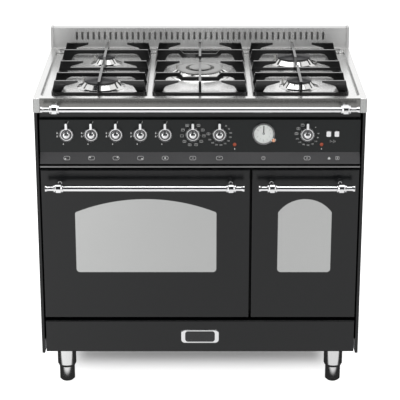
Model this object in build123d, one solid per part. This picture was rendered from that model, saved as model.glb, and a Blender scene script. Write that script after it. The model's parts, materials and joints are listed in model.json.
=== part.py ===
from build123d import *
import os
from math import hypot, pi

# A free-standing dual fuel range cooker with a five burner gas hob, a large fan oven,
# a small oven beside it and a storage space behind a drop-down flap.
# Millimetres. +Z is up, the front faces -Y, the floor is Z = 0 and the box is centred on X and Y.

# Heights on the front, stacked from the floor up
ground_clearance = 104.0
side_drop = 4.0
flap_height = 95.5
flap_gap = 10.0
door_height = 438.0
door_top_gap = 6.5
strip_height = 4.5
strip_gap = 5.5
panel_lip_height = 30.0
panel_height = 92.0
recess_height = 24.0
hob_lip_height = 40.0

# Widths across the front
main_door_width = 573.0
small_door_width = 293.5
door_gap = 5.5
door_side_gap = 4.0
side_flange = 8.0
hob_overhang = 2.0

# Depths
hob_depth = 600.0
door_setback = 2.0
door_depth = 30.0
frame_setback = 40.0
frame_foot_gap = 3.0
mouth_margin = 3.0
panel_setback = 16.0
panel_lip_setback = 3.0
recess_setback = 30.0
rear_panel_inset = 20.0
vent_columns = 16
vent_rows = 3
vent_row_pitch = 48.0

# Material thicknesses and clearances
sheet = 1.5
glass = 4.0
running_fit = 0.05
loose_fit = 0.3
seal_squeeze = 0.3
overcut = 1.0
wire_sides = 8

# Hob pressing
hob_corner_radius = 6.0
hob_edge_radius = 2.0
lip_inset = 1.0
lip_corner = 18.0
lip_shoulder = 5.0
rim_front = 22.0
rim_side = 18.0
rim_rear = 40.0
well_depth = 10.0
well_radius = 20.0
dish_diameter = 176.0
dish_bead = 8.0
dish_bead_height = 2.0
dish_bead_slope = 2.0

# Backguard with its row of vent slots
backguard_height = 60.0
backguard_depth = 28.0
cheek_thick = 8.0
cheek_rise = 2.5
slot_count = 45
slot_pitch = 16.9
slot_width = 6.5
slot_height = 24.0
slot_rise = 24.0
slot_radius = 2.0

# Hob rail and door handles
rail_diameter = 15.5
rail_standoff = 45.0
rail_rise = 21.0
rail_end_inset = 25.0
rail_bracket_inset = 62.0
handle_diameter = 17.0
handle_standoff = 50.0
handle_drop = 37.0
handle_end_inset = 17.0
handle_bracket_inset = 53.0
finial_flare = 1.0
finial_neck = 1.2
finial_length = 9.0
finial_cap = 3.0
collar_diameter = 28.0
collar_length = 25.0
collar_ring = 3.0
collar_step = 2.5
post_diameter = 8.0
post_foot_diameter = 10.0
post_foot_thick = 2.5

# Door windows with arched tops
main_window_width = 390.0
small_window_width = 148.0
window_sill = 136.5
window_side = 178.0
window_rise = 39.0
window_bottom_radius = 10.0
window_shoulder_radius = 7.0
pane_margin = 12.0
door_edge_radius = 3.0

# Drop-down hinges of the doors and the flap
pivot_inset = 10.0
pivot_rise = 5.5
flap_depth = 18.0
flap_pivot_inset = 8.0
flap_pivot_rise = 8.0
hinge_inset = 42.0
lug_thick = 4.0
lug_radius = 5.0
pin_diameter = 5.0
hinge_side_gap = 0.5
hinge_cheek = 3.0
hinge_rise = 22.0
base_pan_setback = 24.0
base_pan_wall = 30.0

# Ovens
cavity_side_margin = 45.0
cavity_floor_rise = 30.5
cavity_head = 47.5
cavity_height = door_height - cavity_floor_rise - cavity_head
cavity_depth = 430.0
cavity_flange = 15.0
cavity_radius = 12.0
runner_count = 4
runner_first = 70.0
runner_pitch = 68.0
runner_width = 9.0
runner_height = 6.0
runner_setback = 25.0
runner_back_gap = 12.0
seal_gap = 4.0
seal_width = 10.0
shelf_level = 1
shelf_side_gap = 2.0
shelf_frame_radius = 3.0
shelf_wire_radius = 2.0
shelf_wire_pitch = 32.0
element_radius = 3.25
element_drop = 22.0
element_inset = 40.0
element_front = 60.0
element_bend = 26.0
element_loops = 3
element_gap = 2.5

# Oven fan
fan_cover_width = 250.0
fan_cover_height = 230.0
fan_cover_depth = 34.0
fan_cover_radius = 24.0
fan_vents = 16
fan_vent_width = 7.0
fan_vent_inner = 28.0
fan_vent_outer = 78.0
fan_diameter = 150.0
fan_blades = 10
fan_blade_depth = 16.0
fan_blade_inner = 44.0
fan_blade_pitch = 20.0
fan_disc = 1.5
fan_hub_diameter = 22.0
fan_shaft_diameter = 8.0
fan_shaft_reach = 30.0
fan_bearing_diameter = 26.0
fan_gap = 6.0

# Control knobs, push buttons, lamps and clock, measured from the middle of the front
# or, where the name says inset, from the nearer end of the panel
gas_knob_inset = 73.0
gas_knob_count = 5
gas_knob_pitch = 67.0
selector_knob = -19.5
main_heat_knob = 53.0
small_heat_knob_inset = 144.0
knob_rise = 50.0
knob_diameter = 41.0
knob_ring_width = 4.0
knob_ring_height = 8.0
knob_groove_depth = 4.0
knob_dome_diameter = 25.0
knob_height = 18.0
knob_panel_gap = 0.8
lever_length = 34.0
lever_width = 6.5
lever_root = 9.0
lever_tip = 4.5
lever_root_drop = 1.5
lever_round = 2.2
stem_diameter = 8.0
stem_reach = 34.0
stem_hole_gap = 1.5
tap_width = 26.0
tap_height = 30.0
tap_radius = 4.5
switch_width = 36.0
switch_depth = 42.0
lamp_diameter = 10.0
lamp_stem_diameter = 8.0
lamp_height = 3.0
lamp_bevel = 1.6
lamp_stem_reach = 6.0
lamp_rise = 22.0
main_lamp = 94.4
small_lamp_inset = 105.0
button_rise = 53.0
first_button_inset = 86.4
button_pitch = 22.1
button_width = 13.0
button_height = 17.0
button_radius = 3.0
button_edge_radius = 1.5
button_proud = 6.0
button_flange = 2.0
button_flange_thick = 2.0
clock_middle = 173.0
clock_rise = 53.0
clock_diameter = 63.0
clock_dial_diameter = 53.0
clock_barrel_diameter = 56.0
clock_barrel_depth = 20.0
clock_bezel_height = 7.0
clock_bezel_wall = 4.0
clock_bezel_bevel = 2.0
clock_floor = 1.0
clock_dial_thick = 1.0
clock_arbor_diameter = 2.4
clock_glass_thick = 1.5
clock_glass_inset = 0.8
hand_thick = 0.6
hand_gap = 0.5
hub_diameter = 6.0
hour_hand_length = 14.0
hour_hand_width = 3.0
minute_hand_length = 21.0
minute_hand_width = 2.2
crown_across = 27.0
crown_drop = 18.0
crown_diameter = 10.0
crown_height = 5.0
crown_bevel = 1.0
crown_stem_diameter = 4.0
crown_stem_reach = 14.0
crown_boss_diameter = 12.0
crown_gap = 0.4

# Gas supply
manifold_diameter = 20.0
manifold_setback = 78.0
manifold_bend = 32.0
manifold_side_inset = 36.0
manifold_past_tap = 30.0
inlet_diameter = 21.0
inlet_length = 14.0
inlet_back_inset = 2.0

# Burners: places behind the front edge of the hob and across from its middle
burner_across = 275.0
front_burner_setback = 160.0
rear_burner_setback = 423.0
wok_setback = 291.0
crown_rise = 17.0
crown_taper = 9.0
crown_flange_thick = 2.5
crown_flange = 11.0
crown_spigot = 18.0
spigot_inset = 12.0
port_pitch = 8.0
port_width = 2.4
port_height = 3.5
port_depth = 5.0
cap_thick = 3.5
cap_dome = 5.0
cap_overhang = 3.5
rapid_cap = 94.0
large_cap = 97.0
medium_cap = 70.0
small_cap = 50.0
wok_cap = 128.0
wok_cap_hole = 82.0
wok_inner_cap = 61.0
wok_inner_rise = 3.5
wok_floor = 8.0
wok_cap_bevel = 1.75
wok_flange = 4.0
igniter_radius = 3.0
igniter_height = 14.0
igniter_sleeve_height = 10.0
igniter_tip_radius = 1.0
igniter_gap = 6.0

# Cast iron pan supports
grate_width = 260.0
grate_front = 50.0
grate_back = 532.0
grate_height = 40.0
grate_corner = 16.0
grate_rod = 9.0
grate_foot_radius = 5.0
grate_foot_height = 3.0
finger_thick = 8.0
finger_reach = 72.0
finger_tip = 4.5
finger_knee = 37.0
finger_knee_drop = 14.5
finger_gusset = 12.0
finger_lean = 8.0
leg_width = 23.0
bar_height = 11.0
bar_inset = 20.0
end_finger_inset = 24.0
prong_width = 7.0
prong_height = 9.0
prong_lean = 6.0
prong_valley = 12.0
prong_slope = 34.0
wok_dip = 12.0
wok_dip_half_width = 47.0
wok_prong_front_gap = 20.0
wok_prong_rear_gap = 56.0

# Legs
leg_across = 382.0
leg_front_setback = 44.0
leg_back_inset = 46.0
sleeve_diameter = 53.0
sleeve_bevel = 4.0
sleeve_bevel_height = 8.0
foot_diameter = 43.0
foot_height = 45.0
foot_radius = 5.0
foot_stud_diameter = 20.0
foot_stud_length = 40.0

# Heights, widths and depths that follow from the sizes above
flap_bottom = ground_clearance
flap_top = flap_bottom + flap_height
door_bottom = flap_top + flap_gap
door_top = door_bottom + door_height
strip_bottom = door_top + door_top_gap
strip_top = strip_bottom + strip_height
lip_bottom = strip_top + strip_gap
panel_bottom = lip_bottom + panel_lip_height
panel_top = panel_bottom + panel_height
hob_underside = panel_top + recess_height
hob_top_height = hob_underside + hob_lip_height
well_floor = hob_top_height - well_depth

panel_half = (main_door_width + door_gap + small_door_width) / 2
inner_half = panel_half + door_side_gap
body_half = inner_half + side_flange
hob_half = body_half + hob_overhang
main_left = -panel_half
small_left = main_left + main_door_width + door_gap
main_middle = main_left + main_door_width / 2
small_middle = small_left + small_door_width / 2

handle_reach = handle_standoff - door_setback + collar_diameter / 2
overall_depth = hob_depth + handle_reach
hob_front = handle_reach - overall_depth / 2
hob_back = overall_depth / 2
door_front = hob_front + door_setback
door_back = door_front + door_depth
frame_front = door_front + frame_setback
frame_back = frame_front + sheet
panel_front = hob_front + panel_setback
panel_back = panel_front + sheet
rear_panel_front = hob_back - rear_panel_inset
side_back = hob_back - door_setback
base_pan_front = hob_front + base_pan_setback
cavity_floor = door_bottom + cavity_floor_rise
cavity_back = frame_back + cavity_depth
knob_height_on_panel = panel_bottom + knob_rise
manifold_axis = hob_front + manifold_setback
pivot_y = door_front + pivot_inset
pivot_z = door_bottom + pivot_rise
flap_pivot_y = door_front + flap_pivot_inset
flap_pivot_z = flap_bottom + flap_pivot_rise

gas_knobs = [gas_knob_inset - panel_half + gas_knob_pitch * i for i in range(gas_knob_count)]
oven_knobs = [selector_knob, main_heat_knob, panel_half - small_heat_knob_inset]
lamps_across = [main_lamp, panel_half - small_lamp_inset]
first_button = panel_half - first_button_inset
button_places = {
    "button_timer": first_button,
    "button_light": first_button + button_pitch,
}
knob_names = [
    "knob_front_left_burner",
    "knob_rear_left_burner",
    "knob_rear_right_burner",
    "knob_front_right_burner",
    "knob_wok_burner",
    "knob_oven_function",
    "knob_main_oven_heat",
    "knob_small_oven_heat",
]
front_row = hob_front + front_burner_setback
rear_row = hob_front + rear_burner_setback
wok_row = hob_front + wok_setback
burners = [
    (-burner_across, front_row, rapid_cap),
    (-burner_across, rear_row, small_cap),
    (burner_across, rear_row, large_cap),
    (burner_across, front_row, medium_cap),
]


def block(x0, x1, y0, y1, z0, z1):
    """A box between two corners."""
    return Pos((x0 + x1) / 2, (y0 + y1) / 2, (z0 + z1) / 2) * Box(x1 - x0, y1 - y0, z1 - z0)


def rod_x(x0, x1, y, z, radius):
    """A round bar along X."""
    return Pos((x0 + x1) / 2, y, z) * Rot(0, 90, 0) * Cylinder(radius, x1 - x0)


def rod_y(x, y0, y1, z, radius):
    """A round bar along Y."""
    return Pos(x, (y0 + y1) / 2, z) * Rot(90, 0, 0) * Cylinder(radius, y1 - y0)


def rod_z(x, y, z0, z1, radius):
    """A round bar along Z."""
    return Pos(x, y, (z0 + z1) / 2) * Cylinder(radius, z1 - z0)


def wire(start, end, radius):
    """A many-sided wire between two points."""
    run = Vector(*end) - Vector(*start)
    face = Plane(origin=start, z_dir=run) * RegularPolygon(radius, wire_sides)
    return extrude(face, amount=run.length, dir=run)


def outline(points):
    """A flat face inside a closed line of points."""
    return make_face(Polyline(*points, close=True))


def turned_x(points, x, y, z):
    """A turning about X from (along, radius) points."""
    return Pos(x, y, z) * revolve(outline(points), Axis.X)


def turned_front(points, x, y, z):
    """A turning about Y from (radius, distance in front of y) points."""
    face = outline([(radius, -proud) for radius, proud in points])
    return Pos(x, y, z) * revolve(face, Axis.Y)


def turned_up(points, x, y):
    """A turning about Z from (radius, height) points."""
    return Pos(x, y, 0) * revolve(Plane.XZ * outline(points), Axis.Z)


def front_plate(face, y, thick):
    """A face drawn in X and Z, set at depth y and given a thickness towards the back."""
    place = Plane(origin=(0, y, 0), x_dir=(1, 0, 0), z_dir=(0, -1, 0))
    return extrude(place * face, amount=thick, dir=(0, 1, 0))


def side_profile(face, x0, x1):
    """A face drawn in Y and Z, drawn out along X."""
    place = Plane(origin=(x0, 0, 0), x_dir=(0, 1, 0), z_dir=(1, 0, 0))
    return extrude(place * face, amount=x1 - x0, dir=(1, 0, 0))


def standing(face, z, height):
    """A face drawn in X and Y, drawn up from z."""
    return extrude(Pos(0, 0, z) * face, amount=height, dir=(0, 0, 1))


def strip_along(points, thick):
    """The face of a strip whose right-hand side follows a bent line, with mitred bends."""
    normals = []
    for (x0, y0), (x1, y1) in zip(points, points[1:]):
        length = hypot(x1 - x0, y1 - y0)
        normals.append(((y0 - y1) / length, (x1 - x0) / length))
    before = [normals[0]] + normals
    after = normals + [normals[-1]]
    far = []
    for (x, y), a, b in zip(points, before, after):
        scale = thick / (1 + a[0] * b[0] + a[1] * b[1])
        far.append((x + (a[0] + b[0]) * scale, y + (a[1] + b[1]) * scale))
    return outline(points + far[::-1])


def dome_arc(radius, start, rise):
    """The arc of a dome, from its edge at a height to its crown on the axis."""
    ball = (radius ** 2 + rise ** 2) / (2 * abs(rise))
    drop = ball - (ball ** 2 - (radius / 2) ** 2) ** 0.5
    half_way = start + rise - drop * rise / abs(rise)
    return ThreePointArc((radius, start), (radius / 2, half_way), (0, start + rise))


def joined(solids):
    """One solid made of pieces that run into each other."""
    return solids[0].fuse(*solids[1:]) if len(solids) > 1 else solids[0]


def round_box(x0, x1, y0, y1, z0, z1, radius):
    """A box with rounded upright edges."""
    face = Pos((x0 + x1) / 2, (y0 + y1) / 2) * RectangleRounded(x1 - x0, y1 - y0, radius)
    return standing(face, z0, z1 - z0)


def hinge_slot(x, y, z, bottom, back):
    """The way that a fixed lug needs through the lower wall of what turns on it."""
    half = lug_thick / 2 + hinge_side_gap
    front = y - lug_radius - hinge_side_gap
    return block(x - half, x + half, front, back, bottom, z + lug_radius + hinge_side_gap)


def hinge_lug(x, y, z, back):
    """A fixed lug with a round nose and a bore for the hinge pin."""
    half = lug_thick / 2
    nose = rod_x(x - half, x + half, y, z, lug_radius)
    arm = block(x - half, x + half, y, back, z - lug_radius, z + lug_radius)
    bore = rod_x(x - lug_thick, x + lug_thick, y, z, pin_diameter / 2 + running_fit)
    return nose + arm - bore


def hinge_bracket(x, y, z, face, floor):
    """A turning bracket: two cheeks and a web round the lug, with the pin across them."""
    inner = lug_thick / 2 + hinge_side_gap
    outer = inner + hinge_cheek
    back = y + lug_radius
    top = floor + hinge_rise
    web_back = y - lug_radius - hinge_side_gap
    whole = block(x - outer, x + outer, face, back, floor, top)
    way = block(x - inner, x + inner, web_back, back + overcut, floor - overcut, top + overcut)
    return whole - way + rod_x(x - outer, x + outer, y, z, pin_diameter / 2)


def build_body():
    """The sheet metal body: sides, back, base, front frame, control panel and trim strip."""
    side_top = hob_top_height - sheet
    side_bottom = flap_bottom - side_drop
    side_panels = []
    for side in (-1, 1):
        skin = block(body_half - sheet, body_half, door_front, side_back, side_bottom, side_top)
        skin = fillet(skin.faces().sort_by(Axis.X)[-1].edges(), sheet / 2)
        edge, inside = body_half - sheet, (door_front + sheet, side_back - sheet)
        panel = [
            skin,
            block(inner_half, edge, door_front, inside[0], side_bottom, side_top),
            block(inner_half, edge, inside[1], side_back, side_bottom, side_top),
            block(inner_half, edge, *inside, side_bottom, side_bottom + sheet),
            block(inner_half, edge, *inside, side_top - sheet, side_top),
        ]
        side_panels += panel if side > 0 else [mirror(piece, Plane.YZ) for piece in panel]

    wall = body_half - sheet
    rear = block(-wall, wall, rear_panel_front, rear_panel_front + sheet, flap_bottom, side_top - sheet)
    inlet_x = manifold_side_inset - body_half
    rear -= rod_y(inlet_x, rear_panel_front - overcut, rear_panel_front + sheet + overcut,
                  knob_height_on_panel, inlet_diameter / 2 + loose_fit)
    vents = GridLocations(slot_pitch, vent_row_pitch, vent_columns, vent_rows)
    vent_face = Rectangle(slot_width, slot_height)
    for place in vents:
        vent = Pos(main_middle, cavity_floor + cavity_height / 2) * place * vent_face
        rear -= front_plate(vent, rear_panel_front - overcut, sheet + 2 * overcut)

    pan = block(-wall, wall, base_pan_front, rear_panel_front, flap_bottom, flap_bottom + sheet)
    upstand = block(-wall, wall, base_pan_front, base_pan_front + sheet, flap_bottom + sheet,
                    flap_bottom + base_pan_wall)
    flap_lugs = [
        hinge_lug(side * (panel_half - hinge_inset), flap_pivot_y, flap_pivot_z, base_pan_front)
        for side in (-1, 1)]

    frame = block(-wall, wall, frame_front, frame_back, flap_top + frame_foot_gap, lip_bottom + sheet)
    door_lugs = []
    for middle, width in door_layout():
        mouth = Pos(middle, cavity_floor + cavity_height / 2) * Rectangle(
            cavity_width(width) + 2 * mouth_margin, cavity_height + 2 * mouth_margin)
        frame -= front_plate(mouth, frame_front - overcut, sheet + 2 * overcut)
        door_lugs += [hinge_lug(x, pivot_y, pivot_z, frame_front) for x in hinge_places(middle, width)]

    recess = hob_front + recess_setback
    lip = hob_front + panel_lip_setback
    fold = [
        (frame_front, lip_bottom),
        (lip, lip_bottom),
        (panel_front, panel_bottom),
        (panel_front, panel_top),
        (recess, panel_top),
        (recess, well_floor - sheet),
    ]
    panel = side_profile(strip_along(fold[::-1], sheet), -panel_half, panel_half)
    for x in gas_knobs + oven_knobs:
        panel -= panel_hole(Circle(stem_diameter / 2 + stem_hole_gap), x, knob_height_on_panel)
    for x in lamps_across:
        panel -= panel_hole(Circle(lamp_stem_diameter / 2 + running_fit), x, panel_bottom + lamp_rise)
    for x in button_places.values():
        hole = RectangleRounded(
            button_width + 2 * loose_fit, button_height + 2 * loose_fit, button_radius)
        panel -= panel_hole(hole, x, panel_bottom + button_rise)
    clock_z = panel_bottom + clock_rise
    panel -= panel_hole(Circle(clock_barrel_diameter / 2 + loose_fit), clock_middle, clock_z)
    panel -= panel_hole(
        Circle(crown_stem_diameter / 2 + running_fit), clock_middle + crown_across, clock_z - crown_drop)

    strip_fold = [
        (frame_front, strip_top),
        (door_front, strip_top),
        (door_front, strip_bottom),
    ]
    strip = side_profile(strip_along(strip_fold, sheet), -panel_half, panel_half)
    return {
        "side_panels": side_panels,
        "rear_panel": rear,
        "base_pan": [pan, upstand, *flap_lugs],
        "front_frame": [frame, *door_lugs],
        "control_panel": panel,
        "trim_strip": strip,
    }


def panel_hole(face, x, z):
    """A cutter through the flat of the control panel."""
    return front_plate(Pos(x, z) * face, panel_front - overcut, sheet + 2 * overcut)


def door_layout():
    """The middle and the width of each oven door."""
    return [(main_middle, main_door_width), (small_middle, small_door_width)]


def hinge_places(middle, width):
    """The two places of a door's hinges."""
    return [middle - width / 2 + hinge_inset, middle + width / 2 - hinge_inset]


def cavity_width(width):
    """The inner width of the oven behind a door."""
    return width - 2 * cavity_side_margin


def burner_holes():
    """The place, and the radius of the hole in the hob, of every burner."""
    holes = [(x, y, cap / 2 - spigot_inset) for x, y, cap in burners]
    return holes + [(0, wok_row, wok_cap / 2 - spigot_inset)]


def build_hob():
    """The hob pressing and the slotted backguard behind it."""
    skin = block(-hob_half, hob_half, hob_front, hob_back, hob_underside, hob_top_height)
    skin = fillet(skin.edges().filter_by(Axis.Z), hob_corner_radius)
    skin = fillet(skin.faces().sort_by(Axis.Z)[-1].edges(), hob_edge_radius)
    lip_face = hob_front + lip_inset
    lip_half = hob_half - lip_corner
    skin -= block(-lip_half, lip_half, hob_front - overcut, lip_face, hob_underside - overcut,
                  hob_top_height - lip_shoulder)
    x = hob_half - rim_side
    front = hob_front + rim_front
    back = hob_back - rim_rear
    well = round_box(-x, x, front, back, well_floor, hob_top_height + overcut, well_radius)
    hollow = block(
        -hob_half + sheet, hob_half - sheet, lip_face + sheet, hob_back - sheet,
        hob_underside - overcut, hob_top_height - sheet)
    for side in (-1, 1):
        near, far = sorted((side * (lip_half + sheet), side * (hob_half - sheet)))
        hollow += block(near, far, hob_front + sheet, lip_face + 2 * sheet, hob_underside - overcut,
                        hob_top_height - sheet)
    tub = round_box(
        -x - sheet, x + sheet, front - sheet, back + sheet, well_floor - sheet,
        hob_top_height, well_radius + sheet)
    hob = skin - well - (hollow - tub)
    outer = dish_diameter / 2
    bead = [
        (outer - dish_bead, well_floor - sheet / 2),
        (outer - dish_bead, well_floor),
        (outer - dish_bead + dish_bead_slope, well_floor + dish_bead_height),
        (outer - dish_bead_slope, well_floor + dish_bead_height),
        (outer, well_floor),
        (outer, well_floor - sheet / 2),
    ]
    hob += turned_up(bead, 0, wok_row)
    for hole_x, hole_y, radius in burner_holes():
        hob -= rod_z(hole_x, hole_y, well_floor - sheet - overcut, well_floor + overcut, radius)

    front = hob_back - backguard_depth
    top = hob_top_height + backguard_height
    end = hob_half - cheek_thick
    seat = hob_top_height + sheet
    fold = [
        (front - cheek_thick, seat), (front, seat), (front, top), (hob_back, top),
        (hob_back, hob_top_height)]
    guard = side_profile(strip_along(fold[::-1], sheet), -end, end)
    for i in range(slot_count):
        x = (i - (slot_count - 1) / 2) * slot_pitch
        slot = Pos(x, hob_top_height + slot_rise + slot_height / 2) * RectangleRounded(
            slot_width, slot_height, slot_radius)
        guard -= front_plate(slot, front - overcut, sheet + 2 * overcut)
    cheek = side_profile(
        outline([
            (front - cheek_thick, hob_top_height),
            (front - cheek_rise, top + cheek_rise),
            (hob_back, top + cheek_rise),
            (hob_back, hob_top_height),
        ]), end, hob_half)
    guard = joined([guard, cheek, mirror(cheek, Plane.YZ)])
    return {"hob_top": hob, "backguard": guard}


def grip_bar(x0, x1, y, z, diameter, collars):
    """A bar with turned ends that runs through the collars at two places."""
    r = diameter / 2
    left, right = collars[0] - collar_length / 2, collars[1] + collar_length / 2
    points = [
        (x0, 0),
        (x0, r + finial_flare),
        (x0 + finial_cap, r + finial_flare),
        (x0 + finial_length, r - finial_neck),
        (left - collar_ring, r - finial_neck),
        (left, r),
        (right, r),
        (right + collar_ring, r - finial_neck),
        (x1 - finial_length, r - finial_neck),
        (x1 - finial_cap, r + finial_flare),
        (x1, r + finial_flare),
        (x1, 0),
    ]
    return turned_x(points, 0, y, z)


def grip_bracket(x, y, z, face, diameter):
    """A collar round the bar, on a post that stands on the face behind it."""
    half = collar_length / 2
    bore = diameter / 2 + running_fit
    large = collar_diameter / 2
    small = large - collar_step
    points = [
        (-half, bore),
        (-half, small),
        (collar_ring - half, small),
        (2 * collar_ring - half, large),
        (half - 2 * collar_ring, large),
        (half - collar_ring, small),
        (half, small),
        (half, bore),
    ]
    collar = turned_x(points, x, y, z)
    post = rod_y(x, y, face, z, post_diameter / 2) - rod_x(x - half, x + half, y, z, large - collar_step)
    foot = rod_y(x, face - post_foot_thick, face, z, post_foot_diameter / 2)
    return joined([collar, post, foot])


def build_rail():
    """The rail along the front of the hob and its two brackets."""
    y = hob_front - rail_standoff
    z = hob_underside + rail_rise
    end = hob_half - rail_end_inset
    collars = [rail_bracket_inset - hob_half, hob_half - rail_bracket_inset]
    return {
        "hob_rail": grip_bar(-end, end, y, z, rail_diameter, collars),
        "hob_rail_brackets": [
            grip_bracket(x, y, z, hob_front + lip_inset, rail_diameter) for x in collars],
    }


def arched_window(middle, width):
    """The window's outline: a flat sill, upright sides and an arched head."""
    half = width / 2
    sill = door_bottom + window_sill
    shoulder = sill + window_side
    sides = Polyline(
        (middle - half, shoulder), (middle - half, sill), (middle + half, sill), (middle + half, shoulder))
    head = ThreePointArc(
        (middle + half, shoulder), (middle, shoulder + window_rise), (middle - half, shoulder))
    face = make_face([*sides.edges(), *head.edges()])
    corners = face.vertices().sort_by(Axis.Y)
    face = fillet(corners[:2], window_bottom_radius)
    return fillet(face.vertices().sort_by(Axis.Y)[-2:], window_shoulder_radius)


def build_door(name, middle, width, window_width):
    """A drop-down oven door: pressed front, two panes, liner, handle and hinges."""
    left, right = middle - width / 2, middle + width / 2
    window = arched_window(middle, window_width)
    front = block(left, right, door_front, door_back, door_bottom, door_top)
    front = fillet(front.faces().sort_by(Axis.Y)[0].edges(), door_edge_radius)
    front -= block(
        left + sheet, right - sheet, door_front + sheet, door_back + overcut,
        door_bottom + sheet, door_top - sheet)
    front -= front_plate(window, door_front - overcut, sheet + 2 * overcut)
    pane = front_plate(offset(window, amount=pane_margin), door_front + sheet, glass)

    liner = block(left, right, door_back, door_back + sheet, door_bottom, door_top)
    view = Pos(middle, cavity_floor + cavity_height / 2) * RectangleRounded(
        window_width, window_side + window_rise, window_bottom_radius)
    liner -= front_plate(view, door_back - overcut, sheet + 2 * overcut)
    inner_pane = front_plate(
        Pos(middle, cavity_floor + cavity_height / 2) * RectangleRounded(
            cavity_width(width) + 2 * (seal_gap + seal_width),
            cavity_height + 2 * (seal_gap + seal_width), cavity_radius),
        door_back + sheet, glass)

    hinges = []
    for x in hinge_places(middle, width):
        slot = hinge_slot(x, pivot_y, pivot_z, door_bottom - overcut, door_back + sheet + overcut)
        front -= slot
        liner -= slot
        hinges.append(hinge_bracket(x, pivot_y, pivot_z, door_front + sheet, door_bottom + sheet))

    y = door_front - handle_standoff
    z = door_top - handle_drop
    collars = [left + handle_bracket_inset, right - handle_bracket_inset]
    handle = grip_bar(left + handle_end_inset, right - handle_end_inset, y, z, handle_diameter, collars)
    return {
        name + "_door_front": front,
        name + "_door_window": pane,
        name + "_door_liner": liner,
        name + "_door_inner_glass": inner_pane,
        name + "_door_handle": handle,
        name + "_door_handle_brackets": [
            grip_bracket(x, y, z, door_front, handle_diameter) for x in collars],
        name + "_door_hinges": hinges,
    }


def build_flap():
    """The drop-down flap of the storage space, with its hinge brackets welded in."""
    back = door_front + flap_depth
    flap = block(-panel_half, panel_half, door_front, back, flap_bottom, flap_top)
    flap = fillet(flap.faces().sort_by(Axis.Y)[0].edges(), door_edge_radius)
    flap -= block(
        -panel_half + sheet, panel_half - sheet, door_front + sheet, back + overcut,
        flap_bottom + sheet, flap_top - sheet)
    for side in (-1, 1):
        x = side * (panel_half - hinge_inset)
        flap -= hinge_slot(x, flap_pivot_y, flap_pivot_z, flap_bottom - overcut, back + overcut)
        flap += hinge_bracket(x, flap_pivot_y, flap_pivot_z, door_front + sheet, flap_bottom + sheet)
    return {"storage_flap": flap}


def runner_ends():
    """Where the shelf runners start and end, clear of the door and of the fan cover."""
    return frame_back + runner_setback, cavity_back - fan_cover_depth - runner_back_gap


def oven_cavity(middle, width):
    """An open-fronted enamelled box with a flange round its mouth and pressed shelf runners."""
    inner = cavity_width(width)
    height_middle = cavity_floor + cavity_height / 2
    place = Pos(middle, height_middle)
    mouth = place * RectangleRounded(inner, cavity_height, cavity_radius)
    outer = place * RectangleRounded(inner + 2 * sheet, cavity_height + 2 * sheet, cavity_radius + sheet)
    rim = place * RectangleRounded(
        inner + 2 * cavity_flange, cavity_height + 2 * cavity_flange, cavity_radius + cavity_flange)
    box = front_plate(rim, frame_back, sheet) + front_plate(outer, frame_back, cavity_depth + sheet)
    box -= front_plate(mouth, frame_back - overcut, cavity_depth + overcut)
    start, end = runner_ends()
    for i in range(runner_count):
        z = cavity_floor + runner_first + i * runner_pitch
        for side in (-1, 1):
            wall = middle + side * (inner / 2 + sheet / 2)
            edge = middle + side * (inner / 2 - runner_width)
            x0, x1 = min(wall, edge), max(wall, edge)
            box += block(x0, x1, start, end, z - runner_height, z)
    return box


def oven_shelf(middle, width):
    """A wire shelf that lies on a pair of runners."""
    half = cavity_width(width) / 2 - shelf_side_gap - shelf_frame_radius
    z = cavity_floor + runner_first + shelf_level * runner_pitch + shelf_frame_radius
    y0, y1 = runner_ends()
    left, right = middle - half, middle + half
    tip = shelf_frame_radius
    bars = [
        wire((left, y0, z), (left, y1, z), shelf_frame_radius),
        wire((right, y0, z), (right, y1, z), shelf_frame_radius),
        wire((left - tip, y0, z), (right + tip, y0, z), shelf_frame_radius),
        wire((left - tip, y1, z), (right + tip, y1, z), shelf_frame_radius),
    ]
    count = round(2 * half / shelf_wire_pitch)
    for i in range(1, count):
        x = left + 2 * half * i / count
        bars.append(wire((x, y0, z), (x, y1, z), shelf_wire_radius))
    return joined(bars)


def grill_element(middle, width):
    """A heating rod bent to and fro under the oven's roof, with both ends in the back wall."""
    half = cavity_width(width) / 2 - element_inset
    z = cavity_floor + cavity_height - element_drop
    y0 = frame_back + element_front
    turns = 2 * element_loops
    step = 2 * half / (turns - 1)
    points = []
    for i in range(turns):
        x = middle - half + i * step
        near, far = (x, y0, z), (x, cavity_back - element_front, z)
        points += [near, far] if i % 2 else [far, near]
    points[0] = (middle - half, cavity_back, z)
    points[-1] = (middle + half, cavity_back, z)
    path = FilletPolyline(*points, radius=min(element_bend, (step - element_gap) / 2))
    face = Plane(origin=points[0], z_dir=(0, -1, 0)) * RegularPolygon(element_radius, wire_sides)
    return sweep(face, path=path)


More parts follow.
